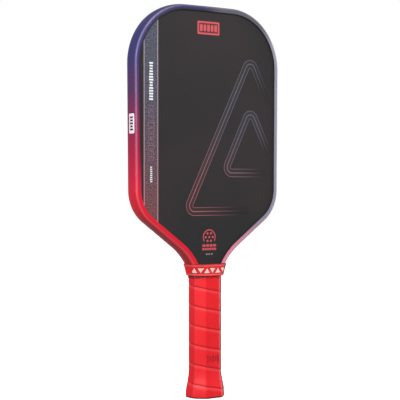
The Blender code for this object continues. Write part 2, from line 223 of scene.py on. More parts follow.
LENGTH = cad_high.z
HEAD_WIDTH = cad_high.x - cad_low.x
HANDLE_LENGTH = 0.1400
THROAT_WIDTH = 0.0418
THROAT_ANGLE = math.radians(29.3)
NECK_RADIUS = 0.0646
DIAGONAL_ANGLE = math.radians(53.9)
SHOULDER_RADIUS = 0.0423
SIDE_TAPER = math.radians(0.47)
CORNER_RADIUS = 0.0647
CROWN_RADIUS = 2.376
ARC_STEP = math.radians(1.5)


def cross(a, b):
    return a.x * b.y - a.y * b.x


def normal(angle):
    """Outward normal of an edge that leans outwards by this angle as it rises."""
    return Vector((math.cos(angle), -math.sin(angle)))


def along(angle):
    return Vector((math.sin(angle), math.cos(angle)))


def arc(centre, radius, start, end, least=1):
    count = max(least, math.ceil(abs(end - start) / ARC_STEP))
    angles = [start + (end - start) * i / count for i in range(count + 1)]
    return [centre + radius * normal(angle) for angle in angles]


def half_outline(inset, low_z):
    """Right half of the head, from the height low_z up to the middle of the crown."""
    crown_centre = Vector((0.0, LENGTH - CROWN_RADIUS))
    corner_x = HEAD_WIDTH / 2 - CORNER_RADIUS
    reach = CROWN_RADIUS - CORNER_RADIUS
    crown_half_angle = math.asin(corner_x / reach)
    corner_centre = Vector((corner_x, crown_centre.y + reach * math.cos(crown_half_angle)))
    neck = Vector((THROAT_WIDTH / 2, HANDLE_LENGTH)) + NECK_RADIUS * normal(THROAT_ANGLE)
    side_base = corner_centre + (CORNER_RADIUS - SHOULDER_RADIUS) * normal(SIDE_TAPER)
    diagonal_base = neck - (NECK_RADIUS + SHOULDER_RADIUS) * normal(DIAGONAL_ANGLE)
    side = along(SIDE_TAPER)
    diagonal = along(DIAGONAL_ANGLE)
    run = cross(side_base - diagonal_base, side) / cross(diagonal, side)
    shoulder_centre = diagonal_base + run * diagonal
    low_angle = math.asin((low_z - neck.y) / (NECK_RADIUS + inset))
    crown_start = crown_half_angle - math.pi / 2
    points = arc(neck, -(NECK_RADIUS + inset), low_angle, DIAGONAL_ANGLE)
    points += arc(shoulder_centre, SHOULDER_RADIUS - inset, DIAGONAL_ANGLE, SIDE_TAPER)
    points += arc(corner_centre, CORNER_RADIUS - inset, SIDE_TAPER, crown_start)
    points += arc(crown_centre, CROWN_RADIUS - inset, crown_start, -math.pi / 2, 12)[1:]
    points[-1].x = 0.0
    return points


def mirrored(points):
    """Close a right half with its mirror image, without doubling the middle point."""
    return points + [Vector((-point.x, point.y)) for point in reversed(points[:-1])]


# ---- Honeycomb core --------------------------------------------------------------------------
# The core is a polypropylene honeycomb with 8 mm cells that run from sheet to sheet. It is cut
# to the head's outline and lies loose inside the foam ring.

CELL_PITCH = 0.0080
CELL_WALL = 0.0003
CORE_INSET = 0.0102
core_low, core_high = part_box("honeycomb_core")


def shape_node(tree, kind, inputs=None, **settings):
    """First output of a new Geometry Nodes node of a kind."""
    return node(tree, "GeometryNode" + kind, inputs, **settings).outputs[0]


def plate(tree, width, height):
    """Rectangle drawn as a curve."""
    return shape_node(tree, "CurvePrimitiveQuadrilateral", {"Width": width, "Height": height})


def sweep(tree, curve, profile, **more):
    """Mesh of a profile carried along a curve."""
    inputs = {"Curve": curve, "Profile Curve": profile}
    inputs.update({label.replace("_", " "): value for label, value in more.items()})
    return shape_node(tree, "CurveToMesh", inputs)


def vector(tree, x, y, z):
    return node(tree, "ShaderNodeCombineXYZ", {0: x, 1: y, 2: z}).outputs[0]


def move(tree, geometry, shift):
    return shape_node(tree, "Transform", {"Geometry": geometry, "Translation": shift})


def start_tree(name, **sizes):
    """New Geometry Nodes tree with a named input for each size. Returns it with both its ends."""
    tree = bpy.data.node_groups.new(name, "GeometryNodeTree")
    kinds = {int: "NodeSocketInt", float: "NodeSocketFloat", tuple: "NodeSocketVector"}
    tree.interface.new_socket("Geometry", in_out="INPUT", socket_type="NodeSocketGeometry")
    for label, value in sizes.items():
        socket = tree.interface.new_socket(
            label.replace("_", " "), in_out="INPUT", socket_type=kinds[type(value)])
        socket.default_value = value
    tree.interface.new_socket("Geometry", in_out="OUTPUT", socket_type="NodeSocketGeometry")
    return tree, tree.nodes.new("NodeGroupInput").outputs


def end_tree(tree, geometry, material):
    """Close a tree with its instances made real and its material set."""
    real = shape_node(tree, "RealizeInstances", {0: geometry})
    dressed = shape_node(tree, "SetMaterial", {"Geometry": real, "Material": material})
    node(tree, "NodeGroupOutput", {0: dressed})
    return tree


def add_object(name, data):
    """New object, linked into the scene."""
    made = bpy.data.objects.new(name, data)
    bpy.context.scene.collection.objects.link(made)
    return made


def grow(name, data, tree, **sizes):
    """Run a tree on a curve or mesh and keep its result as a plain mesh object."""
    source = add_object(name + "_source", data)
    modifier = source.modifiers.new(name, "NODES")
    modifier.node_group = tree
    for item in tree.interface.items_tree:
        label = item.name.replace(" ", "_")
        if item.in_out == "INPUT" and label in sizes:
            modifier[item.identifier] = sizes[label]
    depsgraph = bpy.context.evaluated_depsgraph_get()
    mesh = bpy.data.meshes.new_from_object(source.evaluated_get(depsgraph), depsgraph=depsgraph)
    bpy.data.objects.remove(source, do_unlink=True)
    mesh.name = name
    return add_object(name, mesh)


def flat_curve(name, points, cyclic):
    """Curve drawn in X and Y, which a tree later turns upright."""
    curve = bpy.data.curves.new(name, "CURVE")
    curve.dimensions = "2D"
    curve.fill_mode = "NONE"
    spline = curve.splines.new("POLY")
    spline.points.add(len(points) - 1)
    for spline_point, point in zip(spline.points, points):
        spline_point.co = (point[0], point[1], 0.0, 1.0)
    spline.use_cyclic_u = cyclic
    return curve


def stand_up(tree, geometry):
    """Turn what was drawn in X and Y into X and Z."""
    inputs = {"Geometry": geometry, "Rotation": (math.pi / 2, 0.0, 0.0)}
    return shape_node(tree, "Transform", inputs)


def make_cell_plastic():
    """Milky polypropylene whose walls scatter light unevenly where they were welded."""
    material, tree = start_material("cell plastic", Roughness=0.45, Subsurface_Weight=0.15)
    cloud = noise(tree, 160.0, 3.0)
    colour = blend(tree, cloud, paint("c9ccd0"), paint("e6e8ea"))
    return feed(material, Base_Color=colour, Normal=bump(tree, cloud, 0.0002, 0.4))


def honeycomb_tree(material):
    """Six-sided tubes on two crossed grids, kept only where they fit inside the outline."""
    tree, sizes = start_tree(
        "honeycomb", Pitch=CELL_PITCH, Wall=CELL_WALL, Depth=0.01, Low=0.1, Columns=40, Rows=40)
    row_step = times(tree, sizes["Pitch"], math.sqrt(3.0))
    width = times(tree, sizes["Pitch"], minus(tree, sizes["Columns"], 1.0))
    height = times(tree, row_step, minus(tree, sizes["Rows"], 1.0))
    middle = plus(tree, sizes["Low"], times(tree, height, 0.5))
    grids = node(tree, "GeometryNodeJoinGeometry")
    for share in (0.0, 0.5):
        grid = shape_node(tree, "MeshGrid", {
            "Size X": width, "Size Y": height,
            "Vertices X": sizes["Columns"], "Vertices Y": sizes["Rows"]})
        lift = plus(tree, middle, times(tree, row_step, share))
        shift = vector(tree, times(tree, sizes["Pitch"], share), lift, 0.0)
        tree.links.new(move(tree, grid, shift), grids.inputs[0])
    inside = shape_node(tree, "FillCurve", {0: sizes["Geometry"]})
    gap = node(tree, "GeometryNodeProximity", {0: inside}, target_element="FACES")
    outside = maths(tree, "GREATER_THAN", gap.outputs["Distance"], 0.00001)
    inputs = {"Geometry": grids.outputs[0], "Selection": outside}
    kept = shape_node(tree, "DeleteGeometry", inputs, domain="POINT")
    radius = maths(tree, "DIVIDE", minus(tree, sizes["Pitch"], sizes["Wall"]), math.sqrt(3.0))
    ring = shape_node(tree, "CurvePrimitiveCircle", {"Resolution": 6, "Radius": radius})
    tube = sweep(tree, ring, plate(tree, sizes["Wall"], sizes["Depth"]))
    point_up = (0.0, 0.0, math.radians(30.0))
    turned = shape_node(tree, "Transform", {"Geometry": tube, "Rotation": point_up})
    cells = shape_node(tree, "InstanceOnPoints", {"Points": kept, "Instance": turned})
    return end_tree(tree, stand_up(tree, cells), material)


core_outline = half_outline(CORE_INSET + CELL_PITCH * 0.5, core_low.z + CELL_PITCH * 0.5)
honeycomb = grow(
    "honeycomb_cells", flat_curve("core_outline", mirrored(core_outline), True),
    honeycomb_tree(make_cell_plastic()),
    Depth=core_high.y - core_low.y, Low=core_low.z, Columns=24, Rows=20)
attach(honeycomb, "root")
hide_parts("honeycomb_core")


# ---- Foam ring and handle core ---------------------------------------------------------------
# The rim between core and guard is injected with cream structural foam, and a denser block of
# the same foam fills the neck and the tongue in the handle. Both bond to the sheets round them.

def round_cells(tree, scale):
    """Distance to the middle of the nearest round cell, with scale in cells per metre."""
    inputs = {"Vector": object_place(tree), "Scale": scale}
    return node(tree, "ShaderNodeTexVoronoi", inputs).outputs["Distance"]


def make_foam(name, light, dark, cells):
    """Dull foam with its fine bubbles showing."""
    material, tree = start_material(name, Roughness=0.85, Specular_IOR_Level=0.25)
    bubbles = round_cells(tree, cells)
    colour = blend(tree, between(tree, bubbles, 0.15, 0.6), paint(light), paint(dark))
    shaded = tint(tree, colour, noise(tree, 40.0), 0.3, dark)
    return feed(material, Base_Color=shaded, Normal=bump(tree, bubbles, 0.0003, 0.6))


dress("foam_edge_wall", make_foam("rim foam", "dcd3b4", "b9ad86", 900.0))
dress("handle_core", make_foam("handle foam", "d5caa4", "a89b72", 700.0))


# ---- Edge guard ------------------------------------------------------------------------------
# One soft plastic channel is pressed round the rim and bonded, its two domed lips over the
# faces. It is spray painted in a slanting fade: navy at the crown, magenta, then red.

GUARD_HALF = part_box("edge_guard")[1].y
GUARD_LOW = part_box("edge_guard")[0].z
GUARD_WALL = 0.0016
GUARD_LIP = 0.0065
GUARD_LIP_THICKNESS = 0.0009
GUARD_CORNER = 0.0024
GUARD_CHAMFER = 0.0004
LIP_EDGE = 0.0002
WALL_TURN = math.radians(12.0)
LIP_TILT = math.radians(8.0)
LIP_EDGE_TILT = math.radians(3.0)
FADE_SLANT = 0.8
SHADED_WALL_Z = (0.205, 0.180)
PAINTED_SHEEN_THROAT_Z = (0.155, 0.198)
PAINTED_SHEEN_CROWN_Z = (0.375, 0.405)
PAINTED_SHEEN_START = (0.0008, 0.0015)
PAINTED_SHEEN_STOP = (GUARD_LIP, GUARD_LIP - 0.0004)
CORNER_GLINT_START = (0.0007, 0.0012)
CORNER_GLINT_STOP = (0.0030, 0.0018)
GUARD_FADE = (
    (0.130, "e0142a"), (0.155, "ce1038"), (0.187, "ac0c3e"), (0.219, "85204e"),
    (0.252, "542a5f"), (0.284, "33306c"), (0.400, "262a58"), (0.470, "3c3c52"))


def bowed(centre, radius, start, end, steps):
    """Points of an arc whose angles are measured from the direction that a face looks in."""
    turns = [start + (end - start) * i / steps for i in range(steps + 1)]
    return [(centre[0] + radius * math.sin(t), centre[1] + radius * math.cos(t)) for t in turns]


def guard_half_profile():
    """Outside of the channel in three tangent arcs: bowed wall, tight corner and domed lip."""
    rise = math.tan((LIP_TILT + LIP_EDGE_TILT) / 2)
    corner_in = GUARD_CORNER * (math.cos(WALL_TURN) - math.sin(LIP_TILT))
    corner_up = GUARD_CORNER * (math.cos(LIP_TILT) - math.sin(WALL_TURN))
    bow = math.tan(WALL_TURN / 2)
    wall_half = (GUARD_HALF - corner_up - rise * (GUARD_LIP - corner_in)) / (1.0 - rise * bow)
    wall_radius = wall_half / math.sin(WALL_TURN)
    corner = (
        -bow * wall_half - GUARD_CORNER * math.cos(WALL_TURN),
        wall_half - GUARD_CORNER * math.sin(WALL_TURN))
    lip_out = corner[0] + GUARD_CORNER * math.sin(LIP_TILT)
    lip_radius = (GUARD_LIP + lip_out) / (math.sin(LIP_TILT) - math.sin(LIP_EDGE_TILT))
    lip = (lip_out - lip_radius * math.sin(LIP_TILT), GUARD_HALF - lip_radius * math.cos(LIP_EDGE_TILT))
    upright = math.pi / 2
    points = bowed((-wall_radius, 0.0), wall_radius, upright, upright - WALL_TURN, 5)
    points += bowed(corner, GUARD_CORNER, upright - WALL_TURN, LIP_TILT, 9)[1:]
    return points + bowed(lip, lip_radius, LIP_TILT, LIP_EDGE_TILT, 6)[1:]


def guard_profile():
    """Closed section of the channel: X is outwards from the rim, Y across the thickness."""
    half = guard_half_profile()
    top = half.pop()[1]
    under = GUARD_HALF - GUARD_LIP_THICKNESS
    half += [
        (LIP_EDGE - GUARD_LIP, top), (-GUARD_LIP, top - LIP_EDGE), (-GUARD_LIP, under),
        (-GUARD_WALL - GUARD_CHAMFER, under), (-GUARD_WALL, under - GUARD_CHAMFER)]
    return half + [(x, -y) for x, y in reversed(half[1:])]


def stored(tree, name):
    """Value kept on a mesh's points under a name."""
    return node(tree, "ShaderNodeAttribute", attribute_name=name).outputs["Fac"]


def make_guard_paint():
    """Sprayed fade under a satin coat. Lips black on the left, painted reflection on the right."""
    material, tree = start_material(
        "guard paint", Coat_Weight=0.3, Coat_Roughness=0.2, Specular_IOR_Level=0.4)
    axes = place_axes(tree)
    slant = plus(tree, axes["Z"], times(tree, axes["X"], FADE_SLANT))
    cloud = times(tree, minus(tree, noise(tree, 60.0, 3.0), 0.5), 0.012)
    level = plus(tree, slant, cloud)
    low, high = GUARD_FADE[0][0], GUARD_FADE[-1][0]
    share = node(tree, "ShaderNodeMapRange", {"Value": level, "From Min": low, "From Max": high})
    ramp = node(tree, "ShaderNodeValToRGB", {0: share.outputs[0]})
    stops = ramp.color_ramp.elements
    stops[0].color = paint(GUARD_FADE[0][1])
    stops[1].color = paint(GUARD_FADE[-1][1])
    for place, code in GUARD_FADE[1:-1]:
        stops.new((place - low) / (high - low)).color = paint(code)
    inset = stored(tree, "inset")
    lip = between(tree, inset, GUARD_LIP * 0.45, GUARD_LIP * 1.05)
    far = between(tree, level, 0.140, 0.205)
    dusk = times(tree, lip, far)
    colour = blend(tree, dusk, ramp.outputs[0], paint("121014"))
    # Painted shade: a darker band along the middle of the wall low on the head, where it faces down.
    near_wall = between(tree, axes["Y"], -0.0075, -0.0045)
    mid_wall = times(tree, near_wall, between(tree, axes["Y"], 0.004, 0.0))
    under = times(tree, mid_wall, between(tree, axes["Z"], *SHADED_WALL_Z))
    colour = tint(tree, colour, under, 0.7, "8c0610")
    # Painted reflection of the right-hand light along the right lip: pink low down, lavender above, grey at
    # the crown.
    low_share = between(tree, axes["Z"], *PAINTED_SHEEN_THROAT_Z)
    low_sheen = blend(tree, low_share, paint("dc8ca4"), paint("8d8a9c"))
    painted_sheen = blend(tree, between(tree, axes["Z"], *PAINTED_SHEEN_CROWN_Z), low_sheen, paint("55545e"))
    width = times(tree, between(tree, inset, *PAINTED_SHEEN_START), between(tree, inset, *PAINTED_SHEEN_STOP))
    band = times(tree, width, between(tree, axes["X"], -0.01, 0.02))
    colour = blend(tree, times(tree, band, 0.92), colour, painted_sheen)
    # Painted highlight: a faint pale glint along the guard's outer corner.
    corner = times(tree, between(tree, inset, *CORNER_GLINT_START), between(tree, inset, *CORNER_GLINT_STOP))
    colour = tint(tree, colour, corner, 0.09, "ffd0e4")
    orange_peel = noise(tree, 420.0, 2.0)
    rough = plus(tree, 0.30, times(tree, noise(tree, 90.0, 2.0), 0.12))
    return feed(material, Base_Color=colour, Roughness=rough, Normal=bump(tree, orange_peel, 0.00005, 0.35))


def store(tree, geometry, name, value):
    """Keep a value on each point, where a material can read it."""
    inputs = {"Geometry": geometry, "Name": name, "Value": value}
    return shape_node(tree, "StoreNamedAttribute", inputs, data_type="FLOAT", domain="POINT")


def guard_tree(material, section):
    """Sweep the section round the rim, and remember how far each point lies from the rim."""
    tree, sizes = start_tree("edge guard", Section_scale=1.0)
    profile = node(tree, "GeometryNodeObjectInfo", {0: section}).outputs["Geometry"]
    place = shape_node(tree, "InputPosition")
    x = node(tree, "ShaderNodeSeparateXYZ", {0: place}).outputs[0]
    marked = store(tree, profile, "inset", times(tree, x, -1.0))
    upright = shape_node(tree, "SetCurveNormal", {0: sizes["Geometry"]}, mode="Z_UP")
    swept = sweep(tree, upright, marked, Scale=sizes["Section scale"], Fill_Caps=True)
    return end_tree(tree, stand_up(tree, swept), material)


def cut_level(mesh, z):
    """Cut a closed mesh off below the height z and close the cuts."""
    shape = bmesh.new()
    shape.from_mesh(mesh)
    everything = shape.verts[:] + shape.edges[:] + shape.faces[:]
    found = bmesh.ops.bisect_plane(
        shape, geom=everything, plane_co=(0.0, 0.0, z), plane_no=(0.0, 0.0, -1.0), clear_outer=True)
    edges = [item for item in found["geom_cut"] if isinstance(item, bmesh.types.BMEdge)]
    bmesh.ops.triangle_fill(shape, edges=edges, use_beauty=True)
    bmesh.ops.recalc_face_normals(shape, faces=shape.faces)
    shape.to_mesh(mesh)
    shape.free()


def soften(mesh, angle=40):
    mesh.shade_smooth()
    mesh.set_sharp_from_angle(angle=math.radians(angle))


guard_path = mirrored(half_outline(0.0, GUARD_LOW - GUARD_LIP))
guard_section = bpy.data.objects.new("guard_section", flat_curve("guard_section", guard_profile(), True))
guard = grow(
    "edge_guard_channel", flat_curve("guard_path", guard_path, False),
    guard_tree(make_guard_paint(), guard_section))
bpy.data.objects.remove(guard_section, do_unlink=True)
cut_level(guard.data, GUARD_LOW)
soften(guard.data)
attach(guard, "root")
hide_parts("edge_guard")


# ---- Label on the guard ----------------------------------------------------------------------
# A white vinyl patch with rounded corners is stuck on the outside of the left wall. Its plain
# row of dark blocks stands where a maker would print a name.

LABEL_MIDDLE_Z = 0.2910
LABEL_LENGTH = 0.0206
LABEL_WIDTH = 0.0092
LABEL_MIDDLE_Y = -0.0013
LABEL_BLOCKS = 5
VINYL = 0.00012


def rim_x(points, z):
    """Half width of an outline at a height above its shoulder or below it."""
    for a, b in zip(points, points[1:]):
        if a.y <= z <= b.y:
            return a.x + (z - a.y) * (b.x - a.x) / (b.y - a.y)
    return 0.0


def rounded_rows(middle, width, height, radius, steps=4):
    """Rows of a patch with rounded corners, from its foot up, each with its two ends."""
    u, v = middle
    rises = [radius * (1.0 - math.cos(math.pi / 2 * i / steps)) for i in range(steps + 1)]
    rows = []
    for rise in rises:
        cut = radius - math.sqrt(max(radius ** 2 - (radius - rise) ** 2, 0.0))
        rows.append((rise, max(width / 2 - cut, radius * 0.02)))
    rows += [(height - rise, half) for rise, half in reversed(rows)]
    return [(v - height / 2 + rise, u - half, u + half) for rise, half in rows]


def add_patch(shape, rows, surface, low, high, columns=4):
    """Thin closed patch between two lifts over a surface that is a function of (u, v, lift)."""
    layers = []
    for lift in (high, low):
        layer = []
        for v, left, right in rows:
            ends = [left + (right - left) * i / columns for i in range(columns + 1)]
            layer.append([shape.verts.new(surface(u, v, lift)) for u in ends])
        layers.append(layer)
    rims = []
    for layer in layers:
        for lower, upper in zip(layer, layer[1:]):
            for i in range(columns):
                shape.faces.new((lower[i], lower[i + 1], upper[i + 1], upper[i]))
        rim = layer[0] + [row[-1] for row in layer[1:-1]]
        rims.append(rim + list(reversed(layer[-1])) + [row[0] for row in reversed(layer[1:-1])])
    for i in range(len(rims[0])):
        j = (i + 1) % len(rims[0])
        shape.faces.new((rims[0][i], rims[0][j], rims[1][j], rims[1][i]))


def to_mesh(name, shape):
    """Write a filled bmesh to a new mesh and free it."""
    mesh = bpy.data.meshes.new(name)
    shape.to_mesh(mesh)
    shape.free()
    return mesh


def finish_piece(name, shape, material, angle=40):
    """Turn a filled bmesh into a piece that rides on the paddle."""
    bmesh.ops.dissolve_degenerate(shape, dist=0.0000002, edges=shape.edges)
    bmesh.ops.recalc_face_normals(shape, faces=shape.faces)
    mesh = to_mesh(name, shape)
    soften(mesh, angle)
    mesh.materials.append(material)
    piece = add_object(name, mesh)
    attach(piece, "root")
    return piece


RIM = half_outline(0.0, GUARD_LOW)


def guard_wall(y, z, lift):
    """Point on the outside of the guard's left wall."""
    points = guard_half_profile()
    for (x, near), (next_x, far) in zip(points, points[1:]):
        if near <= abs(y) <= far:
            bow = x + (next_x - x) * (abs(y) - near) / (far - near)
            return (-bow - rim_x(RIM, z) - lift, y, z)
    return (-rim_x(RIM, z) - lift, y, z)


def make_vinyl(name, light, dark, rough):
    """Smooth vinyl or thick ink, faintly uneven in colour and gloss."""
    material, tree = start_material(name)
    cloud = noise(tree, 900.0, 2.0)
    return feed(
        material, Base_Color=blend(tree, cloud, paint(dark), paint(light)),
        Roughness=plus(tree, rough, times(tree, cloud, 0.1)),
        Normal=bump(tree, cloud, 0.00002, 0.3))


label = bmesh.new()
add_patch(
    label, rounded_rows((LABEL_MIDDLE_Y, LABEL_MIDDLE_Z), LABEL_WIDTH, LABEL_LENGTH, 0.0015),
    guard_wall, -0.00004, VINYL, 8)
finish_piece("guard_label", label, make_vinyl("white vinyl", "fdf6fb", "efe4ee", 0.35))

blocks = bmesh.new()
block_pitch = LABEL_LENGTH * 0.76 / LABEL_BLOCKS
for i in range(LABEL_BLOCKS):
    block_z = LABEL_MIDDLE_Z + (i - (LABEL_BLOCKS - 1) / 2) * block_pitch
    block_width = LABEL_WIDTH * (0.50 if i % 2 else 0.58)
    add_patch(
        blocks, rounded_rows((LABEL_MIDDLE_Y, block_z), block_width, block_pitch * 0.62, 0.0004),
        guard_wall, VINYL * 0.5, VINYL * 1.4)
finish_piece("guard_label_blocks", blocks, make_vinyl("label ink", "5c2346", "3c1630", 0.4))


# ---- Printed faces ---------------------------------------------------------------------------
# Inks are screen printed on the cured cloth, a few hundredths of a millimetre thick. Both faces
# carry the same plain artwork: a side stripe, nested peaks, a badge and a ball.

INK = 0.00004
FIRST_INK = 0.00001
CLOTH_ROUGHNESS = 0.58
STRIPE_OUTER_X = -0.0835
STRIPE_INNER_X = -0.0666
STRIPE_LINE = 0.0011
STRIPE_TUCK = 0.0052
STRIPE_MIDDLE_X = -0.0748
PEAK_PATHS = (
    ((0.053, 0.1992), (-0.030, 0.1992), (0.0555, 0.3672), (0.081, 0.3167)),
    ((0.077, 0.2405), (0.020, 0.2405), (0.0555, 0.3117), (0.082, 0.2604)),
)
PEAK_SPACING = 0.0042
PEAK_RADIUS = 0.0062
BADGE_MIDDLE = (-0.0012, 0.3950)
BADGE_SIZE = (0.0290, 0.0140)
BADGE_FRAME = 0.0019
BADGE_BARS = 5
BALL_MIDDLE = (-0.0002, 0.1708)
BALL_RISE = 0.0008
BALL_HOLE = 0.0026
BALL_HOLE_RING = 0.0046
BALL_ARCH = (0.0072, 0.0084)
BALL_WORDS = 0.0188
TUCKED_RIM = half_outline(STRIPE_TUCK, GUARD_LOW)


def front_face(x, z, lift):
    return (x, -(FACE_Y + lift), z)


def print_back(piece):
    """Same print on the other face, turned half round the paddle's long axis."""
    mesh = piece.data.copy()
    mesh.transform(Matrix.Rotation(math.pi, 4, "Z"))
    copy = add_object(piece.name.replace("front", "back"), mesh)
    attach(copy, "root")


def make_ink(name, low_code, high_code, rough=0.45):
    """Screen ink whose colour drifts from the throat's hue to the crown's."""
    material, tree = start_material(name)
    axes = place_axes(tree)
    slant = plus(tree, axes["Z"], times(tree, axes["X"], FADE_SLANT))
    drift = between(tree, slant, 0.17, 0.34)
    speckle = times(tree, noise(tree, 2500.0, 2.0), 0.35)
    colour = blend(tree, drift, paint(low_code), paint(high_code))
    worn = blend(tree, speckle, colour, face_colour(tree))
    fade = stored(tree, "fade")
    shine = times(tree, fade, minus(tree, CLOTH_ROUGHNESS - rough, speckle))
    return feed(
        material, Base_Color=blend(tree, fade, face_colour(tree), worn),
        Specular_IOR_Level=plus(tree, CLOTH_SHINE, times(tree, fade, 0.2)),
        Roughness=minus(tree, CLOTH_ROUGHNESS, shine),
        Normal=bump(tree, noise(tree, 1400.0, 2.0), 0.00002, 0.4))


def full_fade(piece):
    """Ink that doesn't fade out has the attribute at one all over."""
    fade = piece.data.attributes.new("fade", "FLOAT", "POINT")
    fade.data.foreach_set("value", [1.0] * len(piece.data.vertices))


def finish_print(name, shape, material):
    """Turn a filled bmesh into a print that doesn't fade, and repeat it on the back."""
    piece = finish_piece(name, shape, material)
    full_fade(piece)
    print_back(piece)


def print_patches(name, patches, low, high, material):
    """Print flat patches, given as lists of rows, as one layer on both faces."""
    shape = bmesh.new()
    for rows in patches:
        add_patch(shape, rows, front_face, low, high, 1)
    finish_print(name, shape, material)


def stripe_rows(left, right, count):
    """Rows of an upright stripe whose two ends follow the rim, tucked under the guard's lip."""
    def ends(x):
        crossing = [
            a.y + (x - a.x) * (b.y - a.y) / (b.x - a.x)
            for a, b in zip(TUCKED_RIM, TUCKED_RIM[1:]) if (a.x - x) * (b.x - x) <= 0.0 and a.x != b.x]
        return min(crossing), max(crossing)
    low, high = ends(abs(right))
    rows = []
    for i in range(count + 1):
        z = low + (high - low) * (0.5 - 0.5 * math.cos(math.pi * i / count))
        edge = max(left, -rim_x(TUCKED_RIM, z)) if i not in (0, count) else right - STRIPE_LINE / 9
        rows.append((z, min(edge, right - STRIPE_LINE / 9), right))
    return rows


def make_panel_ink():
    """Thin ink over the cloth, mottled like brushed metal, reddish low down and blue grey above."""
    material, tree = start_material("stripe panel ink")
    axes = place_axes(tree)
    drift = between(tree, axes["Z"], 0.18, 0.30)
    ground = blend(tree, drift, paint("50292d"), paint("2c2d37"))
    light = blend(tree, drift, paint("96595d"), paint("62667a"))
    mottle = noise(tree, 1000.0, 3.0, (1.0, 1.0, 0.6))
    patches = between(tree, mottle, 0.38, 0.72)
    colour = blend(tree, patches, ground, light)
    return feed(
        material, Base_Color=colour, Roughness=plus(tree, 0.5, times(tree, mottle, 0.2)),
        Normal=bump(tree, mottle, 0.00003, 0.4))


print_patches(
    "front_stripe_panel", [stripe_rows(STRIPE_OUTER_X, STRIPE_INNER_X, 48)], FIRST_INK, INK,
    make_panel_ink())
print_patches(
    "front_stripe_lines",
    [stripe_rows(x - STRIPE_LINE / 2, x + STRIPE_LINE / 2, 48)
     for x in (STRIPE_OUTER_X, STRIPE_INNER_X)],
    INK * 0.7, INK * 1.8, make_ink("stripe line ink", "c08a90", "9c93a2"))


def marks_tree(name, material, hollow):
    """Row of short bars or hollow frames of uneven width, up the stripe."""
    tree, sizes = start_tree(
        name, Count=8, Start=(0.0, 0.0, 0.0), Step=(0.0, 0.0, 0.005), Width=0.005, Height=0.002,
        Thickness=0.0001, Least_width=0.6, Line=0.0007, Seed=4)
    line = shape_node(tree, "MeshLine", {
        "Count": sizes["Count"], "Start Location": sizes["Start"], "Offset": sizes["Step"]})
    if hollow:
        ring = plate(tree, sizes["Width"], sizes["Height"])
        mark = stand_up(tree, sweep(tree, ring, plate(tree, sizes["Line"], sizes["Thickness"])))
    else:
        size = vector(tree, sizes["Width"], sizes["Thickness"], sizes["Height"])
        mark = shape_node(tree, "MeshCube", {"Size": size})
    width = node(tree, "FunctionNodeRandomValue", {
        2: sizes["Least width"], 3: 1.0, "Seed": sizes["Seed"]}, data_type="FLOAT").outputs[1]
    marks = shape_node(tree, "InstanceOnPoints", {
        "Points": line, "Instance": mark, "Scale": vector(tree, width, 1.0, 1.0)})
    return end_tree(tree, marks, material)


def print_marks(name, tree, low_z, high_z, count, width, share, seed, middle_x=STRIPE_MIDDLE_X):
    """Print a row of marks up the stripe. Share is how much of each step a mark fills."""
    step = (high_z - low_z) / count
    piece = grow(
        name, bpy.data.meshes.new(name), tree, Count=count,
        Start=(middle_x, -(FACE_Y + INK * 1.4), low_z + step / 2), Step=(0.0, 0.0, step),
        Width=width, Height=step * share, Thickness=INK * 1.6, Seed=seed)
    full_fade(piece)
    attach(piece, "root")
    print_back(piece)


white_ink = make_ink("white ink", "f2eef2", "f4f6fa", 0.35)
red_ink = make_ink("red ink", "d2525a", "d8545c", 0.4)
white_marks = marks_tree("white marks", white_ink, False)
print_marks("front_large_marks", white_marks, 0.3150, 0.3554, 14, 0.0054, 0.62, 3)
print_marks("front_small_marks", white_marks, 0.2300, 0.2470, 8, 0.0030, 0.6, 5)
frame_ink = make_ink("frame ink", "b9606c", "a4606c", 0.4)
print_marks(
    "front_frame_marks", marks_tree("frame marks", frame_ink, True), 0.2520, 0.3110, 10, 0.0076,
    0.66, 8)


def peak_tree(material):
    """Round a path's corners, lay it as a flat ribbon, and fade its ink out at both ends."""
    tree, sizes = start_tree(
        "peak line", Corner_radius=0.006, Width=0.001, Thickness=0.00005, Lift=0.0, First_fade=0.1,
        Last_fade=0.1)
    inputs = {"Curve": sizes["Geometry"], "Count": 10, "Radius": sizes["Corner radius"]}
    filleted = shape_node(tree, "FilletCurve", inputs, mode="POLY")
    inputs = {"Curve": filleted, "Length": 0.0012}
    fine = shape_node(tree, "ResampleCurve", inputs, mode="LENGTH")
    run = node(tree, "GeometryNodeSplineParameter").outputs["Factor"]
    start = between(tree, run, 0.0, sizes["First fade"])
    end = between(tree, minus(tree, 1.0, run), 0.0, sizes["Last fade"])
    marked = store(tree, fine, "fade", times(tree, start, end))
    upright = shape_node(tree, "SetCurveNormal", {0: marked}, mode="Z_UP")
    section = plate(tree, sizes["Width"], sizes["Thickness"])
    ribbon = sweep(tree, upright, section, Fill_Caps=True)
    lifted = move(tree, ribbon, vector(tree, 0.0, 0.0, sizes["Lift"]))
    return end_tree(tree, stand_up(tree, lifted), material)


def beside(path, distance):
    """Path moved sideways by a distance, its corners mitred."""
    points = [Vector(point) for point in path]
    directions = [(b - a).normalized() for a, b in zip(points, points[1:])]
    sides = [Vector((d.y, -d.x)) for d in directions]
    moved = [points[0] + distance * sides[0]]
    for i in range(1, len(points) - 1):
        mitre = (sides[i - 1] + sides[i]).normalized()
        moved.append(points[i] + distance / mitre.dot(sides[i]) * mitre)
    moved.append(points[-1] + distance * sides[-1])
    return moved


def join_pieces(name, pieces):
    """Join printed objects of one ink into one piece on each face."""
    shape = bmesh.new()
    for piece in pieces:
        shape.from_mesh(piece.data)
    material = pieces[0].data.materials[0]
    for piece in pieces:
        bpy.data.objects.remove(piece, do_unlink=True)
    print_back(finish_piece(name, shape, material))


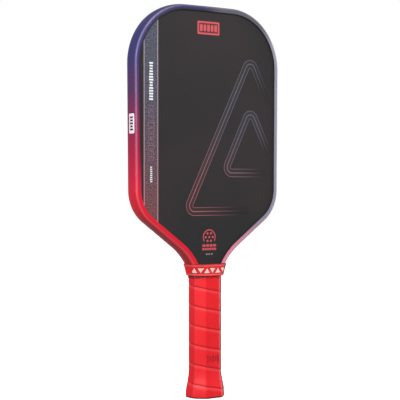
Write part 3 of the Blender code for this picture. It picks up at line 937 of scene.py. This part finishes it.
peak_line_tree = peak_tree(make_ink("peak line ink", "a8646a", "686472", 0.4))
peak_glow_tree = peak_tree(make_ink("peak glow ink", "452a2d", "302e35", 0.5))
glows = []
lines = []
for path in PEAK_PATHS:
    glows.append(grow(
        "glow", flat_curve("glow", path, False), peak_glow_tree, Corner_radius=PEAK_RADIUS,
        Width=PEAK_SPACING * 2, Thickness=INK * 0.5, Lift=FACE_Y + INK * 0.5, First_fade=0.45,
        Last_fade=0.30))
    for side in (-1, 0, 1):
        lines.append(grow(
            "line", flat_curve("line", beside(path, side * PEAK_SPACING), False), peak_line_tree,
            Corner_radius=PEAK_RADIUS - side * PEAK_SPACING,
            Width=0.0010 if side == 0 else 0.0006, Thickness=INK, Lift=FACE_Y + INK * 1.2,
            First_fade=0.26 + 0.05 * side, Last_fade=0.20))
join_pieces("front_peak_glow", glows)
join_pieces("front_peak_lines", lines)

badge_x, badge_z = BADGE_MIDDLE
badge_width, badge_height = BADGE_SIZE
badge_marks = []
for i in range(BADGE_BARS):
    mark_middle = (badge_x + (i - BADGE_BARS // 2) * badge_width * 0.165, badge_z)
    mark_width = badge_width * (0.115 if i % 2 else 0.125)
    badge_marks.append(rounded_rows(
        mark_middle, mark_width, badge_height * 0.52, mark_width * (0.48 if i % 2 else 0.2)))
print_patches(
    "front_badge_frame", [rounded_rows(BADGE_MIDDLE, badge_width, badge_height, 0.0012)],
    FIRST_INK, INK, red_ink)
print_patches(
    "front_badge_ground",
    [rounded_rows(BADGE_MIDDLE, badge_width - 2 * BADGE_FRAME, badge_height - 2 * BADGE_FRAME, 0.0006)],
    INK * 0.6, INK * 1.5, make_ink("badge ground ink", "562a2e", "562a2e"))
print_patches("front_badge_marks", badge_marks, INK * 1.1, INK * 2.0, red_ink)


def ball_icon():
    """Holes of a ball over two rows of blocks, as lists of rows."""
    x, z = BALL_MIDDLE
    patches = []
    for ring, count in ((0.0, 1), (BALL_HOLE_RING, 6)):
        for i in range(count):
            turn = math.tau * i / count
            hole = (x + ring * math.cos(turn), z + BALL_RISE + ring * math.sin(turn))
            patches.append(rounded_rows(hole, BALL_HOLE, BALL_HOLE, 0.00129))
    for row, count in enumerate((4, 6)):
        pitch = BALL_WORDS / count
        for i in range(count):
            middle = (x + (i - (count - 1) / 2) * pitch, z - 0.0081 - row * 0.0038)
            patches.append(rounded_rows(middle, pitch * 0.84, 0.0026, 0.0004))
    return patches


def ball_rim(turn, reach, lift):
    """Point on the face at a bearing and distance from the ball's middle."""
    x, z = BALL_MIDDLE
    return front_face(x + reach * math.cos(turn), z + BALL_RISE + reach * math.sin(turn), lift)


print_patches("front_ball_marks", ball_icon(), FIRST_INK, INK, red_ink)
arch = bmesh.new()
arch_start, arch_end = math.radians(-32.0), math.radians(212.0)
add_patch(
    arch, [(reach, arch_end, arch_start) for reach in BALL_ARCH], ball_rim, FIRST_INK, INK, 40)
finish_print("front_ball_arch", arch, red_ink)
grey_ink = make_ink("grey ink", "8a8588", "8a8588", 0.5)
print_patches(
    "front_throat_marks",
    [rounded_rows((BALL_MIDDLE[0] + (i - 1) * 0.0034, BALL_MIDDLE[1] - 0.0173), 0.0024, 0.0016, 0.0004)
     for i in range(3)],
    FIRST_INK, INK, grey_ink)


# ---- Handle pallets --------------------------------------------------------------------------
# Two half-octagon shells of moulded plastic are glued round the tongue to give the handle its
# eight sides. The wrap hides them. They stay as the CAD nodes and get their moulded finish.

def make_moulding(name, light, dark, rough):
    """Moulded plastic with a fine spark-eroded grain."""
    material, tree = start_material(name)
    cloud = noise(tree, 70.0, 3.0)
    fine = noise(tree, 600.0, 3.0)
    return feed(
        material, Base_Color=blend(tree, cloud, paint(dark), paint(light)),
        Roughness=plus(tree, rough, times(tree, fine, 0.15)),
        Normal=bump(tree, fine, 0.0001, 0.35))


pallet_plastic = make_moulding("pallet plastic", "47474a", "3a3a3d", 0.6)
dress("front_handle_pallet", pallet_plastic)
dress("back_handle_pallet", pallet_plastic)


# ---- Grip wrap -------------------------------------------------------------------------------
# One strip of cushioned, perforated synthetic leather is wound up the handle under tension.
# Each turn lies over the skived edge of the turn below it, which leaves a soft stepped seam.
# A row of plain bars is stamped on its front, where a maker would press a name.

wrap_low, wrap_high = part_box("grip_wrap")
GRIP_WIDTH = 0.0351
GRIP_DEPTH = 0.0292
GRIP_CORNER_CUT = 0.0086
GRIP_ROUNDING = 0.0036
WRAP_PITCH = 0.0208
WRAP_START = 0.0078
TRIM_STEP = 0.000002
STAMP_BARS = 5
STAMP_PITCH = 0.0034
STAMP_HEIGHT = 0.0080
STAMP_MIDDLE_Z = 0.0420
WRAP_SECTION = (
    (0.0000, -0.00080), (0.0000, -0.00024), (0.0002, -0.00010), (0.0005, 0.00000),
    (0.0009, 0.00007), (0.0015, 0.00010), (0.0028, 0.00008), (0.0060, 0.00002),
    (0.0110, 0.00000), (0.0160, -0.00002), (0.0176, -0.00006), (0.0188, -0.00012),
    (0.0197, -0.00016), (0.0206, -0.00023), (0.0208, -0.00084), (0.0217, -0.00094),
    (0.0226, -0.00100), (0.0226, -0.00160), (0.0210, -0.00170), (0.0120, -0.00170),
    (0.0036, -0.00170), (0.0028, -0.00160), (0.0020, -0.00096), (0.0007, -0.00090))
FLARE_OUT = 0.0033
FLARE_TOP = 0.0280
FLARE_BOTTOM = 0.0040


def octagon(half_width, half_depth, corner_cut):
    """Corners of a section, clockwise seen from above, from the front facet's right end."""
    near_x = half_width - corner_cut
    near_y = half_depth - corner_cut
    quarter = [(near_x, -half_depth), (-near_x, -half_depth), (-half_width, -near_y), (-half_width, near_y)]
    return [Vector(p) for p in quarter] + [-Vector(p) for p in quarter]


def soft_section(half_width, half_depth, corner_cut, rounding, steps=4):
    """Rounded octagon as (point, outward normal) pairs, so that it can be grown by any amount."""
    cut = corner_cut - rounding * (2.0 - math.sqrt(2.0))
    corners = octagon(half_width - rounding, half_depth - rounding, cut)
    pairs = []
    for k in range(8):
        here, after = corners[k], corners[(k + 1) % 8]
        facing = -math.pi / 2 - k * math.pi / 4
        for i in range(steps + 1):
            turn = facing + math.pi / 4 * (1.0 - i / steps)
            side = Vector((math.cos(turn), math.sin(turn)))
            pairs.append((here + rounding * side, side))
        side = Vector((math.cos(facing), math.sin(facing)))
        for i in range(1, steps):
            pairs.append((here.lerp(after, i / steps) + rounding * side, side))
    return pairs


GRIP_SECTION = soft_section(GRIP_WIDTH / 2, GRIP_DEPTH / 2, GRIP_CORNER_CUT, GRIP_ROUNDING)


def around(ring, section, u):
    """Point and outward direction at a run u round a section, to the right of its front's middle."""
    steps = len(ring) // 16
    index = steps + steps // 2
    way = -1 if u >= 0.0 else 1
    left = abs(u)
    while True:
        after = (index + way) % len(ring)
        length = (ring[after] - ring[index]).length
        if left <= length:
            share = left / length
            side = section[index][1].lerp(section[after][1], share).normalized()
            return ring[index].lerp(ring[after], share), side
        left -= length
        index = after


def loft(shape, rings, capped=True):
    """Skin rings of equal point counts."""
    loops = [[shape.verts.new(point) for point in points] for points in rings]
    count = len(rings[0])
    for lower, upper in zip(loops, loops[1:]):
        for i in range(count):
            j = (i + 1) % count
            shape.faces.new((lower[i], lower[j], upper[j], upper[i]))
    if capped:
        shape.faces.new(loops[0])
        shape.faces.new(list(reversed(loops[-1])))
    return loops


def flare(z):
    """How far the butt end stands out beyond the straight handle at this height."""
    share = min(max((FLARE_TOP - z) / (FLARE_TOP - FLARE_BOTTOM), 0.0), 1.0)
    return FLARE_OUT * share * share * (3.0 - 2.0 * share)


def build_wrap():
    """Walk round the handle and up it, one ring of the strip's section at each step."""
    points = [point for point, _ in GRIP_SECTION]
    steps = [(b - a).length for a, b in zip(points, points[1:] + points[:1])]
    shares = [sum(steps[:i]) / sum(steps) for i in range(len(steps))]
    low, high = wrap_low.z, wrap_high.z
    width = max(rise for rise, _ in WRAP_SECTION)
    shape = bmesh.new()
    across = shape.verts.layers.float.new("across")
    rings = []
    turn = -2
    while True:
        for (point, side), share in zip(GRIP_SECTION, shares):
            raw = low + WRAP_START + (turn + share) * WRAP_PITCH
            if raw + width < low + 0.0012:
                continue
            if raw > high - 0.0008:
                break
            ring = []
            for i, (rise, lift) in enumerate(WRAP_SECTION):
                z = min(max(raw + rise, low + i * TRIM_STEP), high - i * TRIM_STEP)
                out = point + side * (lift + flare(z))
                ring.append(((out.x, out.y, z), rise / WRAP_PITCH))
            rings.append(ring)
        else:
            turn += 1
            continue
        break
    loops = loft(shape, [[place for place, _ in ring] for ring in rings])
    for loop, ring in zip(loops, rings):
        for vert, (_, rise) in zip(loop, ring):
            vert[across] = rise
    return shape


def painted_glancing_shade(tree):
    """Painted shade: how much a matt surface is darkened where it turns away from the eye."""
    away = node(tree, "ShaderNodeLayerWeight", {"Blend": 0.5}).outputs["Facing"]
    return times(tree, between(tree, away, 0.70, 0.95), 0.8)


def make_wrap_leather():
    """Tacky grained leather cloth, painted shade in seams and at sides, painted highlight below each seam.
    """
    material, tree = start_material(
        "grip leather", Coat_Weight=0.14, Coat_Roughness=0.35, Specular_IOR_Level=0.36)
    across = stored(tree, "across")
    pores = round_cells(tree, 900.0)
    cloud = noise(tree, 55.0, 3.0, (1.0, 1.0, 0.35))
    colour = blend(tree, cloud, paint("e2101c"), paint("f21c26"))
    hem = between(tree, across, 0.035, 0.006)
    tuck = between(tree, across, 0.93, 1.0)
    # Painted highlight just below each seam, and painted shade in the seam itself.
    colour = tint(tree, colour, between(tree, across, 0.78, 0.90), 0.35, "ff5456")
    shaded = tint(tree, colour, maths(tree, "MAXIMUM", hem, tuck), 0.55, "a80a1a")
    # Painted shade where the surface turns away from the eye.
    shaded = blend(tree, painted_glancing_shade(tree), shaded, paint("5c0c1c"))
    grain = plus(tree, pores, times(tree, noise(tree, 300.0, 3.0), 0.8))
    rough = plus(tree, 0.36, times(tree, cloud, 0.16))
    return feed(material, Base_Color=shaded, Roughness=rough, Normal=bump(tree, grain, 0.00012, 0.35))


wrap = finish_piece("grip_wrap_strip", build_wrap(), make_wrap_leather(), 50)
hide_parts("grip_wrap")


def wrap_face(u, z, lift):
    """Point on the wrap at a run u round it from the middle of the front, to the right."""
    ring = [point + side * flare(z) for point, side in GRIP_SECTION]
    spot, side = around(ring, GRIP_SECTION, u)
    return (*(spot + side * lift), z)


stamp = bmesh.new()
for i in range(STAMP_BARS):
    bar_middle = ((i - (STAMP_BARS - 1) / 2) * STAMP_PITCH, STAMP_MIDDLE_Z)
    bar_height = STAMP_HEIGHT * (0.7 if i % 2 else 1.0)
    add_patch(
        stamp, rounded_rows(bar_middle, STAMP_PITCH * 0.62, bar_height, 0.0006), wrap_face, -0.0003,
        0.00014)
finish_piece("grip_stamp_bars", stamp, make_vinyl("stamp ink", "c20c22", "ae0a1c", 0.4))


# ---- Butt cap and medallion ------------------------------------------------------------------
# The butt cap is an injection-moulded cup pushed over the pallets, flared so that the hand
# can't slip off. A round badge is pressed into the recess in its end.

cap_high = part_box("butt_cap")[1]
medallion_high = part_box("butt_medallion")[1]
CAP_RIM_HEIGHT = 0.0012
CAP_WALL = 0.0013
CAP_FLOOR = 0.0035
CAP_LEVELS = 8
CAP_EDGE_RADIUS = 0.0006
RECESS_CHAMFER = 0.0003
WRAP_THICKNESS = 0.0017
CLEARANCE = 0.0003
MEDALLION_RADIUS = medallion_high.x


def grip_ring(offset, z):
    return [(*(point + side * offset), z) for point, side in GRIP_SECTION]


def round_ring(radius, z):
    """Circle with one point for each point of the grip's section, at the same bearing."""
    return [(*(point.normalized() * radius), z) for point, _ in GRIP_SECTION]


def build_cap():
    """Inside of the cup, over its top, down its flared outside and round into the recess."""
    under_wrap = -(WRAP_THICKNESS + CLEARANCE)
    spigot = under_wrap - CAP_WALL
    rings = [
        grip_ring(spigot, CAP_FLOOR), grip_ring(spigot, cap_high.z), grip_ring(under_wrap, cap_high.z)]
    for i in range(CAP_LEVELS + 1):
        z = cap_high.z + (CAP_RIM_HEIGHT - cap_high.z) * i / CAP_LEVELS
        rings.append(grip_ring(flare(z) + under_wrap, z))
    edge = flare(0.0)
    rings.append(grip_ring(edge - 0.0002, CAP_RIM_HEIGHT))
    for degrees in (0.0, 30.0, 60.0, 90.0):
        turn = math.radians(degrees)
        out = CAP_EDGE_RADIUS * (math.cos(turn) - 1.0)
        rings.append(grip_ring(edge + out, CAP_EDGE_RADIUS * (1.0 - math.sin(turn))))
    recess = MEDALLION_RADIUS + CLEARANCE
    rings.append(round_ring(recess + RECESS_CHAMFER, 0.0))
    rings.append(round_ring(recess, RECESS_CHAMFER))
    rings.append(round_ring(recess, medallion_high.z + CLEARANCE))
    shape = bmesh.new()
    loft(shape, rings)
    return shape


cap = finish_piece("butt_cap_cup", build_cap(), make_moulding("cap plastic", "74101e", "5a0a16", 0.38))
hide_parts("butt_cap")


def medallion_tree(material):
    """Disc with two rings of round studs on it, like the holes of a ball."""
    tree, sizes = start_tree("medallion", Radius=0.012, Face=0.0005, Stud=0.0011, Spacing=0.3)
    group = node(tree, "GeometryNodeJoinGeometry")
    tree.links.new(sizes["Geometry"], group.inputs[0])
    stud = shape_node(tree, "MeshCylinder", {
        "Vertices": 16, "Radius": sizes["Stud"], "Depth": 0.0003})
    for ring in (1, 2):
        share = times(tree, sizes["Spacing"], float(ring))
        circle = shape_node(tree, "MeshCircle", {
            "Vertices": 6 * ring, "Radius": times(tree, sizes["Radius"], share)})
        placed = shape_node(tree, "InstanceOnPoints", {"Points": circle, "Instance": stud})
        lifted = move(tree, placed, vector(tree, 0.0, 0.0, sizes["Face"]))
        tree.links.new(lifted, group.inputs[0])
    return end_tree(tree, group.outputs[0], material)


def medallion_disc():
    """Turned disc: a raised rim round a dished face, its face towards the floor."""
    profile = ((0.2, 0.00035), (0.86, 0.00042), (0.90, 0.00012), (0.96, 0.00008), (1.0, 0.00025))
    shape = bmesh.new()
    rings = []
    for share, z in (*profile, (1.0, medallion_high.z), (0.2, medallion_high.z)):
        turns = [math.tau * i / 64 for i in range(64)]
        radius = MEDALLION_RADIUS * share
        rings.append([(radius * math.cos(t), radius * math.sin(t), z) for t in turns])
    loft(shape, rings)
    bmesh.ops.recalc_face_normals(shape, faces=shape.faces)
    return to_mesh("medallion_disc", shape)


medallion = grow(
    "butt_medallion_badge", medallion_disc(),
    medallion_tree(make_moulding("medallion enamel", "b3101c", "960a16", 0.22)),
    Radius=MEDALLION_RADIUS, Face=0.0003)
soften(medallion.data)
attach(medallion, "root")
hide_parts("butt_medallion")


# ---- Finishing tape --------------------------------------------------------------------------
# A strip of stretchy vinyl tape holds the cut end of the wrap. The collar is rolled down over
# it, and only the tape's slanting end shows below the collar on the left.

tape_low, tape_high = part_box("finishing_tape")
TAPE_THICKNESS = 0.0004
TAPE_TAIL = 0.0036


def closed_skin(rings):
    """Skin rings whose last one meets the first, as a sleeve with a wall."""
    shape = bmesh.new()
    loft(shape, rings + rings[:1], False)
    bmesh.ops.remove_doubles(shape, verts=shape.verts, dist=0.0000001)
    return shape


def build_tape():
    """Band of even thickness whose foot slants down towards the left."""
    rings = [[], [], [], []]
    outside = CLEARANCE + TAPE_THICKNESS
    for point, side in GRIP_SECTION:
        foot = tape_low.z - TAPE_TAIL * min(max(-point.x / (GRIP_WIDTH / 2), 0.0), 1.0)
        corners = (
            (CLEARANCE, foot), (outside, foot), (outside, tape_high.z), (CLEARANCE, tape_high.z))
        for ring, (lift, z) in zip(rings, corners):
            ring.append((*(point + side * lift), z))
    return closed_skin(rings)


tape = finish_piece(
    "finishing_tape_strip", build_tape(), make_vinyl("tape vinyl", "9c0e1a", "7e0a16", 0.3))
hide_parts("finishing_tape")


# ---- Collar ----------------------------------------------------------------------------------
# A moulded rubber band is rolled over the taped end of the wrap. It widens upwards to meet the
# throat, has a bead at both edges, and carries a printed row of triangles on each face.

collar_low, collar_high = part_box("collar_band")
COLLAR_TOP_WIDTH = 0.0460
COLLAR_SIDE_FACET = 0.0156
COLLAR_GROWN = 0.0022
COLLAR_WALL = 0.0012
COLLAR_ROUNDING = 0.0024
COLLAR_STEPS = 6
BEAD = 0.00018
BEAD_PROFILE = (
    (0.0, 0.1), (0.02, 0.7), (0.05, 1.0), (0.08, 0.8), (0.11, 0.3), (0.15, 0.0), (0.5, -0.35),
    (0.85, 0.0), (0.89, 0.3), (0.92, 0.8), (0.95, 1.0), (0.98, 0.7), (1.0, 0.1))
TRIANGLE_PITCH = 0.0071
TRIANGLE_WIDTH = 0.0080
TRIANGLE_LOW = 0.1336
TRIANGLE_HIGH = 0.1394
TRIANGLE_SHIFT = 0.0012
TRIANGLE_EDGE = 0.0005
collar_half_depth = GRIP_DEPTH / 2 + COLLAR_GROWN
foot_section = soft_section(
    GRIP_WIDTH / 2 + COLLAR_GROWN, collar_half_depth,
    GRIP_CORNER_CUT + COLLAR_GROWN * (2.0 - math.sqrt(2.0)), COLLAR_ROUNDING, COLLAR_STEPS)
crown_section = soft_section(
    COLLAR_TOP_WIDTH / 2, collar_half_depth, collar_half_depth - COLLAR_SIDE_FACET / 2,
    COLLAR_ROUNDING, COLLAR_STEPS)


def collar_ring(z, offset):
    """Ring of the collar at a height, grown outwards by an offset."""
    share = (z - collar_low.z) / (collar_high.z - collar_low.z)
    return [
        (*(foot.lerp(crown, share) + side * offset), z)
        for (foot, side), (crown, _) in zip(foot_section, crown_section)]


def build_collar():
    """Outside up from the foot, then in over the roof to the slot that the neck passes through."""
    top = collar_high.z
    height = top - collar_low.z
    outside = [
        collar_ring(collar_low.z + height * share, BEAD * lift) for share, lift in BEAD_PROFILE]
    slot_x = rim_x(half_outline(GUARD_WALL, collar_low.z), top) + CLEARANCE
    slot_y = FACE_Y + CLEARANCE
    slot = []
    for x, y, _ in collar_ring(top, 0.0):
        reach = min(slot_x / max(abs(x), 1e-9), slot_y / max(abs(y), 1e-9))
        slot.append((x * reach, y * reach))
    roof = [
        [(x, y, top) for x, y in slot],
        [(x, y, top - COLLAR_WALL) for x, y in slot],
        collar_ring(top - COLLAR_WALL, -COLLAR_WALL),
        collar_ring(collar_low.z, -COLLAR_WALL),
    ]
    return closed_skin(outside + roof)


def make_collar_rubber():
    """Moulded rubber with a pale line inside each bead, darker top and bottom edges and painted edge shade.
    """
    material, tree = start_material("collar rubber", Specular_IOR_Level=0.3)
    z = place_axes(tree)["Z"]
    height = minus(tree, z, (collar_low.z + collar_high.z) / 2)
    reach = maths(tree, "ABSOLUTE", height)
    half = (collar_high.z - collar_low.z) / 2
    edge = between(tree, reach, half - 0.0011, half - 0.0003)
    line = between(tree, reach, half - 0.0026, half - 0.0018)
    cloud = noise(tree, 120.0, 3.0)
    colour = blend(tree, cloud, paint("ea1620"), paint("f4242e"))
    rimmed = tint(tree, tint(tree, colour, line, 0.3, "ff8c8c"), edge, 0.6, "8a0c1a")
    # Painted shade where the rubber turns away from the eye.
    return feed(
        material, Base_Color=blend(tree, painted_glancing_shade(tree), rimmed, paint("5c0c1c")),
        Roughness=plus(tree, 0.42, times(tree, cloud, 0.12)),
        Normal=bump(tree, noise(tree, 700.0, 3.0), 0.00008, 0.3))


collar = finish_piece("collar_sleeve", build_collar(), make_collar_rubber())
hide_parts("collar_band")


def collar_face(u, z, lift):
    """Point on the collar at a run u round it from the middle of the front, to the right."""
    ring = [Vector(p[:2]) for p in collar_ring(z, 0.0)]
    spot, side = around(ring, foot_section, u)
    return (*(spot + side * lift), z)


def triangle_rows(middle, width, low, high, upward):
    """Rows of a triangle with a slightly blunted tip."""
    rows = []
    for i in range(7):
        share = i / 6
        half = width / 2 * ((1.0 - share) if upward else share)
        half = max(half, 0.00015)
        rows.append((low + (high - low) * share, middle - half, middle + half))
    return rows


def print_triangles(name, grown, low, high, material):
    """Print the row, every other triangle upside down, with each one grown by a margin."""
    shape = bmesh.new()
    for k in range(-4, 2):
        middle = TRIANGLE_SHIFT + (k + 0.5) * TRIANGLE_PITCH
        rows = triangle_rows(
            middle, TRIANGLE_WIDTH + grown * 3.0, TRIANGLE_LOW - grown, TRIANGLE_HIGH + grown,
            k % 2 == 0)
        add_patch(shape, rows, collar_face, low, high, 6)
    finish_print(name, shape, material)


print_triangles(
    "front_triangle_edges", TRIANGLE_EDGE, -BEAD, INK,
    make_vinyl("triangle edge ink", "7c0f1c", "6a0c18", 0.4))
print_triangles(
    "front_triangles", -TRIANGLE_EDGE / 2, 0.0, INK * 3,
    make_vinyl("triangle ink", "ffcfc6", "f6beb4", 0.4))


# ---- Stage, light and camera -----------------------------------------------------------------
# A pale floor in a white room. One large softbox stands at the front left and one hangs high in
# front. Two weaker ones, one at each side, fill the guard's left wall and its right lip.

ROOM_GLOW = 0.25
CAMERA_AZIMUTH = math.radians(-35.83)
CAMERA_ELEVATION = math.radians(0.76)
CAMERA_DISTANCE = 1.371
CAMERA_TARGET = Vector((-0.00662, 0.0, 0.21136))
CAMERA_LENS = 115.0
SENSOR_WIDTH = 36.0


def direction(azimuth, elevation):
    """Unit vector from the object towards a place round it. Azimuth 0 is in front of it."""
    level = math.cos(elevation)
    return Vector((math.sin(azimuth) * level, -math.cos(azimuth) * level, math.sin(elevation)))


def add_softbox(name, azimuth, elevation, distance, size, power):
    """Rectangular light that faces the paddle. Angles are in degrees and power in watts."""
    light = bpy.data.lights.new(name, "AREA")
    light.shape = "RECTANGLE"
    light.size, light.size_y = size
    light.energy = power
    holder = add_object(name, light)
    away = direction(math.radians(azimuth), math.radians(elevation))
    holder.location = Vector((0.0, 0.0, LENGTH / 2)) + away * distance
    holder.rotation_mode = "QUATERNION"
    holder.rotation_quaternion = away.to_track_quat("Z", "Y")


def build_floor():
    shape = bmesh.new()
    bmesh.ops.create_grid(shape, x_segments=1, y_segments=1, size=4.0)
    bmesh.ops.translate(shape, verts=shape.verts, vec=(0.0, 0.0, -0.0005))
    mesh = to_mesh("floor", shape)
    material, tree = start_material(
        "pale floor", Roughness=0.9, Emission_Strength=0.95, Emission_Color=(1.0, 1.0, 1.0, 1.0))
    feed(material, Base_Color=blend(tree, noise(tree, 3.0), paint("f4f4f4"), paint("fafafa")))
    mesh.materials.append(material)
    floor = add_object("floor", mesh)
    floor.visible_diffuse = False
    floor.visible_glossy = False


def build_room():
    """Room that the camera sees as pure white, though its walls light the paddle less strongly."""
    room = bpy.data.worlds.new("white room")
    room.use_nodes = True
    tree = room.node_tree
    tree.nodes["Background"].inputs["Color"].default_value = (1.0, 1.0, 1.0, 1.0)
    seen = node(tree, "ShaderNodeLightPath").outputs["Is Camera Ray"]
    inputs = {"Value": seen, "To Min": ROOM_GLOW, "To Max": 1.0}
    glow = node(tree, "ShaderNodeMapRange", inputs).outputs[0]
    tree.links.new(glow, tree.nodes["Background"].inputs["Strength"])
    bpy.context.scene.world = room


build_floor()
build_room()
bpy.context.scene.view_settings.view_transform = "Standard"
add_softbox("key softbox", -50.0, 25.0, 1.3, (0.7, 0.9), 11.2)
add_softbox("high softbox", 5.0, 45.0, 1.3, (0.8, 0.8), 11.5)
add_softbox("left softbox", -97.0, 5.0, 1.2, (0.4, 1.0), 4.5)
add_softbox("right softbox", 80.0, 5.0, 1.2, (0.6, 1.1), 7.0)

camera_data = bpy.data.cameras.new("camera")
camera_data.lens = CAMERA_LENS
camera_data.sensor_width = SENSOR_WIDTH
camera = add_object("camera", camera_data)
view_back = direction(CAMERA_AZIMUTH, CAMERA_ELEVATION)
camera.location = CAMERA_TARGET + view_back * CAMERA_DISTANCE
camera.rotation_mode = "QUATERNION"
camera.rotation_quaternion = view_back.to_track_quat("Z", "Y")
bpy.context.scene.camera = camera


bpy.context.view_layer.update()
